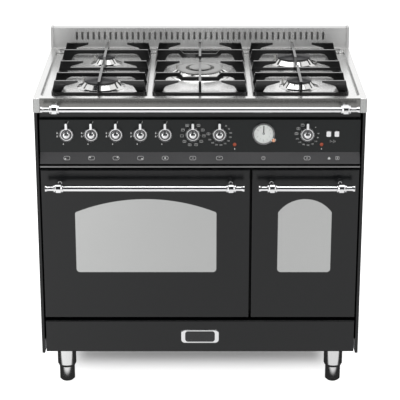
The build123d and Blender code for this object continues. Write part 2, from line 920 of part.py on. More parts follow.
def build_ovens():
    """Both ovens with their seals, shelves, grill elements, fan and fan cover."""
    cavities = [oven_cavity(middle, width) for middle, width in door_layout()]
    seals = []
    thick = frame_front - (door_back + sheet + glass) - seal_squeeze
    for middle, width in door_layout():
        place = Pos(middle, cavity_floor + cavity_height / 2)
        rings = [
            RectangleRounded(
                cavity_width(width) + 2 * grow, cavity_height + 2 * grow, cavity_radius + grow)
            for grow in (seal_gap, seal_gap + seal_width)]
        seals.append(front_plate(place * (rings[1] - rings[0]), frame_front - thick, thick))

    fan_z = cavity_floor + cavity_height / 2
    bearing_end = cavity_back + sheet + fan_shaft_reach
    cavities[0] += rod_y(main_middle, cavity_back + sheet / 2, bearing_end, fan_z, fan_bearing_diameter / 2)
    cavities[0] -= rod_y(
        main_middle, cavity_back - overcut, bearing_end - sheet, fan_z,
        fan_shaft_diameter / 2 + running_fit)

    cover_front = cavity_back - fan_cover_depth
    place = Pos(main_middle, fan_z)
    cover = front_plate(
        place * RectangleRounded(fan_cover_width, fan_cover_height, fan_cover_radius),
        cover_front, fan_cover_depth)
    cover -= front_plate(
        place * RectangleRounded(
            fan_cover_width - 2 * sheet, fan_cover_height - 2 * sheet, fan_cover_radius - sheet),
        cover_front + sheet, fan_cover_depth)
    vent_length = fan_vent_outer - fan_vent_inner
    for i in range(fan_vents):
        slot = Pos(fan_vent_inner + vent_length / 2, 0) * Rectangle(vent_length, fan_vent_width)
        vent = place * Rot(0, 0, 360 / fan_vents * i) * slot
        cover -= front_plate(vent, cover_front - overcut, sheet + 2 * overcut)

    fan_back = cavity_back - fan_gap
    disc_front = fan_back - fan_disc
    fan = [
        rod_y(main_middle, disc_front, fan_back, fan_z, fan_diameter / 2),
        rod_y(main_middle, disc_front - fan_blade_depth, fan_back, fan_z, fan_hub_diameter / 2),
        rod_y(main_middle, fan_back - fan_disc, bearing_end - 2 * sheet, fan_z, fan_shaft_diameter / 2),
    ]
    blade_length = fan_diameter / 2 - fan_blade_inner
    for i in range(fan_blades):
        blade = Pos(fan_blade_inner + blade_length / 2, 0) * Rot(0, 0, fan_blade_pitch) * Rectangle(
            blade_length, fan_disc)
        turned = place * Rot(0, 0, 360 / fan_blades * i) * blade
        fan.append(front_plate(turned, disc_front - fan_blade_depth, fan_blade_depth + fan_disc / 2))
    return {
        "main_oven_cavity": cavities[0],
        "small_oven_cavity": cavities[1],
        "oven_door_seals": seals,
        "oven_shelves": [oven_shelf(middle, width) for middle, width in door_layout()],
        "grill_elements": [grill_element(middle, width) for middle, width in door_layout()],
        "fan_cover": cover,
        "oven_fan": joined(fan),
    }


def control_knob(x):
    """A turned knob with a ring, a groove, a dome and a pointer lever, on a stem."""
    ring = knob_diameter / 2
    inner = ring - knob_ring_width
    dome = knob_dome_diameter / 2
    stem = stem_diameter / 2
    groove = knob_ring_height - knob_groove_depth
    profile = Polyline(
        (0, stem_reach), (stem, stem_reach), (stem, -knob_panel_gap), (ring, -knob_panel_gap),
        (ring, -groove), (ring - knob_ring_width / 2, -knob_ring_height), (inner, -groove), (dome, -groove))
    top = dome_arc(dome, -groove, groove - knob_height)
    axis = Line((0, -knob_height), (0, stem_reach))
    knob = revolve(make_face([*profile.edges(), *top.edges(), *axis.edges()]), Axis.Y)
    side = outline([
        (-knob_height + lever_root_drop, 0),
        (-knob_height + lever_tip, lever_length / 2),
        (-knob_ring_height - lever_tip, lever_length),
        (-knob_ring_height, lever_length),
        (-knob_height + lever_root, 0),
    ])
    lever = side_profile(side, -lever_width / 2, lever_width / 2)
    lever = fillet(lever.edges().filter_by(Axis.Y, tolerance=20).sort_by(Axis.Z)[-2:], lever_round)
    return Pos(x, panel_front, knob_height_on_panel) * joined([knob, lever])


def build_controls():
    """Knobs with the taps and switches behind them, push buttons and lamps."""
    z = knob_height_on_panel
    nodes = dict(zip(knob_names, [control_knob(x) for x in gas_knobs + oven_knobs]))
    bore = stem_diameter / 2 + running_fit
    tap_back = manifold_axis - manifold_diameter / 2
    bore_end = panel_front + stem_reach + overcut
    taps = []
    for x in gas_knobs:
        half = tap_width / 2
        body = round_box(x - half, x + half, panel_back, tap_back, z - tap_height / 2,
                         z + tap_height / 2, tap_radius)
        taps.append(body - rod_y(x, panel_back - overcut, bore_end, z, bore))
    switches = []
    for x in oven_knobs:
        half = switch_width / 2
        body = block(x - half, x + half, panel_back, panel_back + switch_depth, z - half, z + half)
        switches.append(body - rod_y(x, panel_back - overcut, bore_end, z, bore))
    lamps = []
    head = lamp_diameter / 2
    neck = lamp_stem_diameter / 2
    for x in lamps_across:
        lens = [(0, -lamp_stem_reach), (neck, -lamp_stem_reach), (neck, 0), (head, 0),
                (head, lamp_height - lamp_bevel), (head - lamp_bevel, lamp_height), (0, lamp_height)]
        lamps.append(turned_front(lens, x, panel_front, panel_bottom + lamp_rise))
    nodes["gas_taps"] = taps
    nodes["oven_switches"] = switches
    nodes["indicator_lamps"] = lamps
    for name, x in button_places.items():
        place = Pos(x, panel_bottom + button_rise)
        cap = place * RectangleRounded(button_width, button_height, button_radius)
        stop = place * RectangleRounded(
            button_width + 2 * button_flange, button_height + 2 * button_flange, button_radius)
        head = front_plate(cap, panel_front - button_proud, button_proud + sheet + button_flange_thick)
        head = fillet(head.faces().sort_by(Axis.Y)[0].edges(), button_edge_radius)
        nodes[name] = head + front_plate(stop, panel_back, button_flange_thick)
    return nodes


def clock_hand(length, width, proud):
    """A clock hand on a hub that turns on the arbor."""
    z = panel_bottom + clock_rise
    place = Pos(clock_middle, z)
    face = place * (Circle(hub_diameter / 2) + Pos(0, length / 2) * Rectangle(width, length))
    face -= place * Circle(clock_arbor_diameter / 2 + running_fit)
    return front_plate(face, panel_front - proud - hand_thick, hand_thick)


def build_clock():
    """The clock: case with bezel, dial with arbor, two hands, glass and setting crown."""
    z = panel_bottom + clock_rise
    ring = clock_diameter / 2
    barrel = clock_barrel_diameter / 2
    cup = clock_dial_diameter / 2
    bezel = clock_bezel_height
    profile = [
        (0, -clock_barrel_depth), (barrel, -clock_barrel_depth), (barrel, 0), (ring, 0),
        (ring, bezel - clock_bezel_wall), (ring - clock_bezel_bevel, bezel), (cup, bezel),
        (cup, -clock_floor), (0, -clock_floor)]
    case = turned_front(profile, clock_middle, panel_front, z)
    crown_x = clock_middle + crown_across
    crown_z = z - crown_drop
    boss_front = panel_front - bezel + clock_bezel_wall
    boss = rod_y(crown_x, boss_front, panel_front, crown_z, crown_boss_diameter / 2)
    bore = rod_y(crown_x, boss_front - 2 * bezel, panel_front + overcut, crown_z,
                 crown_stem_diameter / 2 + running_fit)
    room = rod_y(crown_x, boss_front - 2 * bezel, boss_front, crown_z, crown_diameter / 2 + crown_gap)
    case = case + boss - bore - room

    dial_radius = cup - running_fit
    glass_front = bezel - clock_glass_inset
    glass_back = glass_front - clock_glass_thick
    arbor = clock_arbor_diameter / 2
    dial_top = clock_dial_thick - clock_floor
    dial = turned_front(
        [(0, -clock_floor), (dial_radius, -clock_floor), (dial_radius, dial_top), (arbor, dial_top),
         (arbor, glass_back - hand_gap), (0, glass_back - hand_gap)], clock_middle, panel_front, z)
    pane = turned_front(
        [(0, glass_back), (dial_radius, glass_back), (dial_radius, glass_front), (0, glass_front)],
        clock_middle, panel_front, z)
    hour_proud = dial_top + hand_gap
    minute_proud = hour_proud + hand_thick + hand_gap
    stem = crown_stem_diameter / 2
    head = crown_diameter / 2
    front = panel_front - boss_front + crown_gap
    crown = turned_front(
        [(0, -crown_stem_reach), (stem, -crown_stem_reach), (stem, front), (head, front),
         (head, front + crown_height - crown_bevel), (head - crown_bevel, front + crown_height),
         (0, front + crown_height)],
        crown_x, panel_front, crown_z)
    return {
        "clock_case": case,
        "clock_dial": dial,
        "clock_glass": pane,
        "clock_hour_hand": clock_hand(hour_hand_length, hour_hand_width, hour_proud),
        "clock_minute_hand": clock_hand(minute_hand_length, minute_hand_width, minute_proud),
        "clock_crown": crown,
    }


def build_gas():
    """The gas manifold and the burners on the hob."""
    z = knob_height_on_panel
    left = manifold_side_inset - body_half
    right = gas_knobs[-1] + manifold_past_tap
    end = hob_back - inlet_back_inset
    stub = end - inlet_length
    path = FilletPolyline((right, manifold_axis, z), (left, manifold_axis, z), (left, stub, z),
                          radius=manifold_bend)
    face = Plane(origin=(right, manifold_axis, z), z_dir=(-1, 0, 0)) * Circle(manifold_diameter / 2)
    manifold = sweep(face, path=path) + rod_y(left, stub, end, z, inlet_diameter / 2)

    crowns, caps, igniters = [], [], []
    top = well_floor + crown_rise
    for x, y, cap in burners:
        rim = cap / 2
        crowns.append(burner_crown(x, y, rim, crown_flange, 0))
        shoulder = top + cap_thick
        dome = dome_arc(rim, shoulder, cap_dome)
        side = Polyline((0, shoulder + cap_dome), (0, top), (rim, top), (rim, shoulder))
        face = Plane.XZ * make_face([*side.edges(), *dome.edges()])
        caps.append(Pos(x, y, 0) * revolve(face, Axis.Z))
        igniters.append(igniter(x, y, rim + crown_taper + crown_flange))
    rim, hole, inner = wok_cap / 2, wok_cap_hole / 2, wok_inner_cap / 2
    crowns.append(burner_crown(0, wok_row, rim, wok_flange, hole))
    caps.append(turned_up(
        [(hole, top), (rim, top), (rim, top + cap_thick - wok_cap_bevel),
         (rim - 2 * wok_cap_bevel, top + cap_thick), (hole, top + cap_thick)], 0, wok_row))
    seat = top + wok_inner_rise
    caps.append(turned_up(
        [(0, seat), (inner, seat), (inner, seat + cap_thick - wok_cap_bevel),
         (inner - 2 * wok_cap_bevel, seat + cap_thick), (0, seat + cap_thick)], 0, wok_row))
    igniters.append(igniter(0, wok_row, dish_diameter / 2))
    return {
        "gas_manifold": manifold,
        "burner_crowns": crowns,
        "burner_caps": caps,
        "burner_igniters": igniters,
    }


def burner_crown(x, y, rim, flange_width, trough):
    """A conical burner body with a flange on the hob, a spigot through it and a ring of ports."""
    top = well_floor + crown_rise
    base = rim + crown_taper
    flange = base + flange_width
    spigot = rim - spigot_inset - loose_fit
    neck = well_floor + crown_flange_thick
    head = rim - cap_overhang
    crown = turned_up(
        [(0, well_floor - crown_spigot), (spigot, well_floor - crown_spigot), (spigot, well_floor),
         (flange, well_floor), (base, neck), (head, top), (0, top)], x, y)
    if trough:
        hub = wok_inner_cap / 2 - cap_overhang
        crown -= turned_up(
            [(hub, well_floor + wok_floor), (trough, well_floor + wok_floor), (trough, top + overcut),
             (hub, top + overcut)], x, y)
        crown += rod_z(x, y, well_floor + wok_floor, top + wok_inner_rise, hub)
    count = round(2 * pi * head / port_pitch)
    ports = []
    for i in range(count):
        port = block(
            head - port_depth, base, -port_width / 2, port_width / 2, top - port_height, top + overcut)
        ports.append(Pos(x, y, 0) * Rot(0, 0, 360 / count * i) * port)
    return crown.cut(*ports)


def igniter(x, y, radius):
    """A spark electrode in its ceramic sleeve, beside the burner."""
    away = (radius + igniter_gap) / 2 ** 0.5
    face = Pos(x - away, y + away) * RegularPolygon(igniter_radius, wire_sides)
    tip = Pos(x - away, y + away) * RegularPolygon(igniter_tip_radius, wire_sides)
    sleeve = standing(face, well_floor, igniter_sleeve_height)
    return sleeve + standing(tip, well_floor, igniter_height)


def side_finger():
    """A finger of a pan support, drawn from its outer side: leg, rounded knee and tapered tip."""
    height = grate_height - grate_foot_height
    tip = (finger_reach, height - finger_tip)
    edge = Polyline((leg_width, 0), (0, 0), (finger_lean, height), (finger_reach, height), tip)
    knee = FilletPolyline(tip, (finger_knee, height - finger_knee_drop), (leg_width, 0), radius=finger_gusset)
    return make_face([*edge.edges(), *knee.edges()])


def pan_support(middle, with_dip):
    """One cast iron pan support: low frame, three pairs of fingers, two bridges and a middle prong."""
    y0, y1 = hob_front + grate_front, hob_front + grate_back
    left, right = middle - grate_width / 2, middle + grate_width / 2
    z = well_floor + grate_foot_height
    top = well_floor + grate_height
    outer = round_box(left, right, y0, y1, z, z + grate_rod, grate_corner)
    inner = round_box(left + grate_rod, right - grate_rod, y0 + grate_rod, y1 - grate_rod,
                      z - overcut, z + grate_rod + overcut, grate_corner - grate_rod)
    half_rod = grate_rod / 2
    pieces = [outer - inner]
    if not with_dip:
        pieces.append(block(left + finger_lean, right - finger_lean, wok_row - half_rod, wok_row + half_rod,
                            z + grate_rod, z + 2 * grate_rod))
    for x in (left + grate_corner, right - grate_corner):
        for y in (y0 + half_rod, y1 - half_rod):
            pieces.append(rod_z(x, y, well_floor, z + half_rod, grate_foot_radius))

    finger = Pos(left, z) * side_finger()
    for y in (y0 + end_finger_inset, wok_row, y1 - end_finger_inset):
        solid = front_plate(finger, y - finger_thick / 2, finger_thick)
        pieces += [solid, mirror(solid, Plane(origin=(middle, 0, 0), z_dir=(1, 0, 0)))]

    for y in (front_row, rear_row):
        solid = front_plate(finger, y - finger_thick / 2, finger_thick)
        pieces += [solid, mirror(solid, Plane(origin=(middle, 0, 0), z_dir=(1, 0, 0)))]
        near, far = left + bar_inset, right - bar_inset
        if with_dip:
            jog = wok_dip_half_width + wok_dip
            line = [(near, top), (middle - jog, top), (middle - wok_dip_half_width, top - wok_dip),
                    (middle + wok_dip_half_width, top - wok_dip), (middle + jog, top), (far, top)]
        else:
            line = [(near, top), (far, top)]
        bar = strip_along(line[::-1], bar_height)
        pieces.append(front_plate(bar, y - finger_thick / 2, finger_thick))

    front_foot, back_foot = y0 + half_rod, y1 - half_rod
    if with_dip:
        lines = [
            [(front_foot, z), (front_foot + prong_lean, top), (wok_row - wok_prong_front_gap, top)],
            [(wok_row + wok_prong_rear_gap, top), (back_foot - prong_lean, top), (back_foot, z)],
        ]
    else:
        low = z + prong_valley
        half = prong_valley
        lines = [[
            (front_foot, z), (front_foot + prong_lean, top), (wok_row - half - prong_slope, top),
            (wok_row - half, low), (wok_row + half, low), (wok_row + half + prong_slope, top),
            (back_foot - prong_lean, top), (back_foot, z)]]
    for line in lines:
        prong = strip_along(line[::-1], prong_height)
        pieces.append(side_profile(prong, middle - prong_width / 2, middle + prong_width / 2))
    return joined(pieces)


def build_supports():
    """The three pan supports."""
    return {
        "pan_support_left": pan_support(-burner_across, False),
        "pan_support_middle": pan_support(0, True),
        "pan_support_right": pan_support(burner_across, False),
    }


def build_legs():
    """Four leg sleeves under the base, each with a screw-in foot."""
    sleeves, feet = [], []
    outer, stud, foot = sleeve_diameter / 2, foot_stud_diameter / 2, foot_diameter / 2
    bore = stud + running_fit
    for x in (-leg_across, leg_across):
        for y in (hob_front + leg_front_setback, hob_back - leg_back_inset):
            sleeves.append(turned_up(
                [(bore, foot_height), (outer - sleeve_bevel, foot_height),
                 (outer, foot_height + sleeve_bevel_height), (outer, ground_clearance),
                 (bore, ground_clearance)], x, y))
            sole = [(0, 0), (foot - foot_radius, 0), (foot, foot_radius), (foot, foot_height),
                    (stud, foot_height), (stud, foot_height + foot_stud_length),
                    (0, foot_height + foot_stud_length)]
            feet.append(turned_up(sole, x, y))
    return {"leg_sleeves": sleeves, "levelling_feet": feet}


def main():
    """Build every piece and write one file for each node."""
    nodes = {}
    for group in (build_body(), build_hob(), build_rail(), build_ovens(), build_controls(), build_clock(),
                  build_gas(), build_supports(), build_legs(), build_flap()):
        nodes.update(group)
    nodes.update(build_door("main", main_middle, main_door_width, main_window_width))
    nodes.update(build_door("small", small_middle, small_door_width, small_window_width))
    os.makedirs("parts", exist_ok=True)
    for name, shape in nodes.items():
        piece = Compound(children=shape) if isinstance(shape, list) else shape
        export_step(piece, os.path.join("parts", name + ".step"))


if __name__ == "__main__":
    main()
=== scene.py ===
import json
import logging
import math
from dataclasses import dataclass, field, replace
from enum import Enum
from functools import reduce
from typing import Iterable, Iterator

import bmesh
import bpy
import numpy as np
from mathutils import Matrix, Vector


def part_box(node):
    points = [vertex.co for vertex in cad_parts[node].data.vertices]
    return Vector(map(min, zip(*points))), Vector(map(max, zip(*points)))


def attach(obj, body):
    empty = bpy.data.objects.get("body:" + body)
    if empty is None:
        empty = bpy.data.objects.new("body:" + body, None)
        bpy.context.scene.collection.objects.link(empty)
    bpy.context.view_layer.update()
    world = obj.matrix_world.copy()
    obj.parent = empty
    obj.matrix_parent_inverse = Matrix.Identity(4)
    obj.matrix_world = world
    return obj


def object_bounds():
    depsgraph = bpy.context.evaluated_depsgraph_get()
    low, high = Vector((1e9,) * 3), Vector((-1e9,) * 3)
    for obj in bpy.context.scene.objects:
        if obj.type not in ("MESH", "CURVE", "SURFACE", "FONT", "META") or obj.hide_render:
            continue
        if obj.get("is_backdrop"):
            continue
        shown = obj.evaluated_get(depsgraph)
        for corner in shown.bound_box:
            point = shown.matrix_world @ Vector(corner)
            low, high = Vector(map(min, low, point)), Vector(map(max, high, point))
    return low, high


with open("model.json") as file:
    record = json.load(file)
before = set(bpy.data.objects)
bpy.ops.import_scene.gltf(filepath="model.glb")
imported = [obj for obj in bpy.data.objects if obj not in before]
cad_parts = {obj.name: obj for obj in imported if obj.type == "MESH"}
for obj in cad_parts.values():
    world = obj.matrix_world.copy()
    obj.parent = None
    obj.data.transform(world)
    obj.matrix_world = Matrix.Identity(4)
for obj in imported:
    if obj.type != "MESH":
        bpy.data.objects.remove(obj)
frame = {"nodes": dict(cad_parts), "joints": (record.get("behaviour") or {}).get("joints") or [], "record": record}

CAD_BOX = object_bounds()
MM = 0.001
IMAGE_SIDE = 400
ROOT_BODY = "cooker_body"
LOG = logging.getLogger("range_cooker")

Colour = tuple[float, float, float]
Triple = tuple[float, float, float]
Pair = tuple[float, float]
Node = bpy.types.Node
Socket = bpy.types.NodeSocket
Material = bpy.types.Material


class Look(Enum):
    """The looks of new pieces: a slot of the record, and the finish that a piece gets."""

    PANEL_PRINT = ("white_dial", "white_print")
    CLOCK_PRINT = ("black_plastic", "grey_print")
    GROOVE = ("black_plastic", "groove_black")
    CHROME = ("polished_chrome", "polished_chrome")
    # Dark: the clock's bezel inlay, and the painted shadow laid in each knob's groove.
    PLATE = ("charcoal_enamel", "plate_enamel")
    SCREW = ("zinc_plated_steel", "zinc_plated_steel")
    THREAD = ("zinc_plated_steel", "brass")


class HobPlace(Enum):
    """Where a burner lies on the hob, as a dot's place in a symbol in millimetres."""

    FRONT_LEFT = (-4.125, -2.1)
    REAR_LEFT = (-4.125, 2.1)
    REAR_RIGHT = (4.125, 2.1)
    FRONT_RIGHT = (4.125, -2.1)
    WOK = (0.0, 0.0)


class Side(Enum):
    """The way that an upright plane faces, as the sign of its outward direction along Y."""

    FRONT = -1.0
    BACK = 1.0


@dataclass(frozen=True)
class Spot:
    """A drawing plane on the cooker: an origin, and rows that point across, up and out of it."""

    origin: np.ndarray
    ways: np.ndarray

    @staticmethod
    def facing(side: Side, x: float, y: float, z: float) -> "Spot":
        """An upright plane at a place, which faces the cook or the wall behind the cooker."""
        ways = np.array(((-side.value, 0, 0), (0, 0, 1), (0, side.value, 0)))
        return Spot(np.array((x, y, z)), ways)

    def carry(self, points: np.ndarray) -> np.ndarray:
        """Drawing points (across, up, out) on the cooker: the origin plus each times its direction."""
        return self.origin + points @ self.ways

    def shifted(self, across: float, up: float) -> "Spot":
        """The same plane with its origin moved within it."""
        return Spot(self.carry(np.array((across, up, 0.0))), self.ways)

    def round_at(self, radius: float, turn: float) -> "Spot":
        """The plane moved to a circle round its origin, clockwise from the top by an angle in radians."""
        return self.shifted(radius * math.sin(turn), radius * math.cos(turn))


@dataclass
class Patch:
    """Points with the quads and triangles between them, before they become a mesh."""

    points: np.ndarray
    quads: np.ndarray = field(default_factory=lambda: np.zeros((0, 4), int))
    triangles: np.ndarray = field(default_factory=lambda: np.zeros((0, 3), int))

    def on(self, spot: Spot) -> "Patch":
        """The same patch carried onto a plane of the cooker."""
        return Patch(spot.carry(self.points), self.quads, self.triangles)


def joined(patches: list[Patch]) -> Patch:
    """Puts patches into one, each with its indices moved past the points before it.

    Args:
        patches: The patches to put together.

    Returns:
        One patch with all their points and faces.
    """
    starts = np.cumsum([0] + [len(patch.points) for patch in patches])
    return Patch(
        np.concatenate([patch.points for patch in patches]),
        np.concatenate([patch.quads + start for patch, start in zip(patches, starts)]),
        np.concatenate([patch.triangles + start for patch, start in zip(patches, starts)]))


def grid_quads(rows: int, columns: int, round_rows: bool = False, round_columns: bool = True) -> np.ndarray:
    """The quads of a grid of points numbered row by row.

    Each quad takes a point, the next in its row, and the same two one row on; a round
    direction goes back to its start through the remainder of the index.

    Args:
        rows: Number of rows.
        columns: Number of points in a row.
        round_rows: Whether the last row joins the first.
        round_columns: Whether the last point of a row joins its first.

    Returns:
        An n by 4 array of indices.
    """
    i, j = np.meshgrid(
        np.arange(rows if round_rows else rows - 1),
        np.arange(columns if round_columns else columns - 1), indexing="ij")
    i, j = i.ravel(), j.ravel()
    here, below, beside = i * columns, (i + 1) % rows * columns, (j + 1) % columns
    return np.stack((here + j, here + beside, below + beside, below + j), 1)


def fan(centre: int, first: int, count: int) -> np.ndarray:
    """Triangles from a centre point to each side of a ring whose points are numbered from the first."""
    i = np.arange(count)
    return np.stack((np.full(count, centre), first + i, first + (i + 1) % count), 1)


def lifted(line: np.ndarray, height: float) -> np.ndarray:
    """Points of a plane at a height above it."""
    return np.column_stack((line, np.full(len(line), height)))


def full_turn(count: int) -> np.ndarray:
    """Equal angles round a full turn, from 0 to one step short of it."""
    return np.linspace(0, 2 * np.pi, count, endpoint=False)


def arc(radius: float, turn: np.ndarray) -> np.ndarray:
    """Points on a circle: the radius times the cosine and sine of each angle."""
    return radius * np.column_stack((np.cos(turn), np.sin(turn)))


def circle(radius: float, count: int = 24) -> np.ndarray:
    """Points evenly round a circle."""
    return arc(radius, full_turn(count))


def rounded_rectangle(width: float, height: float, radius: float, count: int = 6) -> np.ndarray:
    """Points round a rectangle whose corners are quarter circles.

    Each corner's centre lies a radius inside both sides, and its points are that centre plus
    the radius at angles over a quarter turn.

    Args:
        width: Overall width.
        height: Overall height.
        radius: Corner radius.
        count: Points on each corner.

    Returns:
        A 4 count by 2 array of points, anticlockwise.
    """
    turn = np.linspace(0, np.pi / 2, count)[None, :] + np.pi / 2 * np.arange(4)[:, None]
    corner = np.array(((1, 1), (-1, 1), (-1, -1), (1, -1)))
    centre = corner * (np.array((width, height)) / 2 - radius)
    points = centre[:, None, :] + radius * np.stack((np.cos(turn), np.sin(turn)), 2)
    return points.reshape(-1, 2)


def flame(width: float, height: float, count: int = 20) -> np.ndarray:
    """A drop with its point up: across is 0.65 width times sin t times sin half t squared, up is cos t."""
    turn = full_turn(count)
    return np.column_stack((0.65 * width * np.sin(turn) * np.sin(turn / 2) ** 2, height / 2 * np.cos(turn)))


def swept(path: np.ndarray, profile: np.ndarray, closed: bool) -> Patch:
    """A closed profile carried along a flat path.

    A point of the surface is the path's point, plus the profile's first coordinate along the
    path's left-hand normal, with the profile's second coordinate as its height.

    Args:
        path: An n by 2 array of points in the plane.
        profile: A k by 2 array of (sideways, height) points, all the way round.
        closed: Whether the path's end joins its start.

    Returns:
        The skin as a patch, with its two ends filled where the path is open.
    """
    along = np.roll(path, -1, 0) - np.roll(path, 1, 0) if closed else np.gradient(path, axis=0)
    along = along / np.linalg.norm(along, axis=1, keepdims=True)
    normal = np.stack((-along[:, 1], along[:, 0]), 1)
    flat = path[:, None, :] + normal[:, None, :] * profile[None, :, :1]
    height = np.broadcast_to(profile[None, :, 1:], flat.shape[:2] + (1,))
    points = np.concatenate((flat, height), 2).reshape(-1, 3)
    count = len(profile)
    quads = grid_quads(len(path), count, closed)
    if closed:
        return Patch(points, quads)
    first = np.arange(1, count - 1)
    cap = np.stack((np.zeros_like(first), first, first + 1), 1)
    return Patch(points, quads, np.concatenate((cap, cap + (len(path) - 1) * count)))


def stroke(path: np.ndarray, width: float, height: float, closed: bool = False) -> Patch:
    """A printed line: a low rectangular profile carried along a path."""
    half = width / 2
    return swept(path, np.array(((-half, 0), (half, 0), (half, height), (-half, height))), closed)


def slab(outline: np.ndarray, height: float) -> Patch:
    """A low solid inside a closed outline that its own middle sees all of.

    The outline is repeated at the bottom and the top, walls join the two, and fans from the
    middle close both ends.

    Args:
        outline: An n by 2 array of points, all the way round.
        height: How far it stands out of its plane.

    Returns:
        The solid as a patch.
    """
    count = len(outline)
    lines = (outline, outline.mean(0)[None])
    points = np.concatenate([lifted(line, z) for line in lines for z in (0.0, height)])
    ends = np.concatenate((fan(2 * count, 0, count), fan(2 * count + 1, count, count)))
    return Patch(points, grid_quads(2, count), ends)


def lettering(text: str, size: float, height: float) -> Patch:
    """Digits as a low solid centred on the origin.

    Args:
        text: What is printed.
        size: The height of the type.
        height: How far the print stands out.

    Returns:
        The digits' mesh as a patch.
    """
    curve = bpy.data.curves.new("lettering", "FONT")
    curve.body = text
    curve.size = size
    curve.extrude = height / 2
    curve.resolution_u = 3
    curve.align_x = "CENTER"
    curve.align_y = "CENTER"
    holder = bpy.data.objects.new("lettering", curve)
    mesh = bpy.data.meshes.new_from_object(holder)
    mesh.calc_loop_triangles()
    points = np.zeros(len(mesh.vertices) * 3)
    triangles = np.zeros(len(mesh.loop_triangles) * 3, int)
    mesh.vertices.foreach_get("co", points)
    mesh.loop_triangles.foreach_get("vertices", triangles)
    bpy.data.objects.remove(holder)
    bpy.data.meshes.remove(mesh)
    bpy.data.curves.remove(curve)
    points = points.reshape(-1, 3) + np.array((0, 0, height / 2))
    return Patch(points, triangles=triangles.reshape(-1, 3))


def screw_head(radius: float, rise: float) -> Patch:
    """A domed screw head with a cross recess.

    The surface is a function of radius share s and angle. Its height is the rise times the rim's
    share plus the rest times the square root of 1 - s squared, less a groove that is deepest on
    either axis and ends inside the rim.

    Args:
        radius: The head's radius.
        rise: The height of the dome.

    Returns:
        The closed head as a patch.
    """
    rings, turns = 9, 32
    rim_share, recess = 0.25, 0.5
    groove_half, groove_end, groove_fade = 0.16, 0.68, 0.1
    share = np.linspace(0, 1, rings)[1:, None]
    turn = full_turn(turns)[None, :]
    x, y = share * np.cos(turn), share * np.sin(turn)
    near = np.minimum(np.abs(x), np.abs(y))
    reach = np.maximum(np.abs(x), np.abs(y))
    groove = np.clip(1 - near / groove_half, 0, 1) * np.clip((groove_end - reach) / groove_fade, 0, 1)
    arch = np.sqrt(np.clip(1 - share ** 2, 0, 1))
    height = rise * (rim_share + (1 - rim_share) * arch - recess * groove)
    dome = np.stack((radius * x, radius * y, np.broadcast_to(height, x.shape)), 2).reshape(-1, 3)
    ends = np.array(((0, 0, (1 - recess) * rise), (0, 0, 0)))
    points = np.concatenate((dome, lifted(circle(radius, turns), 0.0), ends))
    count = rings * turns
    caps = np.concatenate((fan(count, 0, turns), fan(count + 1, count - turns, turns)))
    return Patch(points, grid_quads(rings, turns), caps)


def thread_sleeve(radius: float, length: float, pitch: float, depth: float) -> Patch:
    """A screw thread as a skin round a stub that points out of its plane.

    The radius falls by the depth times a triangle wave of (distance along / pitch - angle as a
    share of a turn), so the crest climbs one pitch for each turn; both ends run out flat.

    Args:
        radius: The crest's radius.
        length: The length of the stub.
        pitch: The distance between crests.
        depth: The depth of the thread.

    Returns:
        The skin as a patch.
    """
    turns, rows_to_a_pitch = 40, 8
    rows = int(length / pitch * rows_to_a_pitch)
    along = np.linspace(0, length, rows)[:, None]
    turn = full_turn(turns)[None, :]
    phase = (along / pitch - turn / (2 * np.pi)) % 1
    wave = np.abs(2 * phase - 1)
    fade = np.clip(np.minimum(along, length - along) / pitch, 0, 1)
    r = radius - depth * (1 - wave * fade)
    points = np.stack((r * np.cos(turn), r * np.sin(turn), np.broadcast_to(along, r.shape)), 2)
    return Patch(points.reshape(-1, 3), grid_quads(rows, turns))


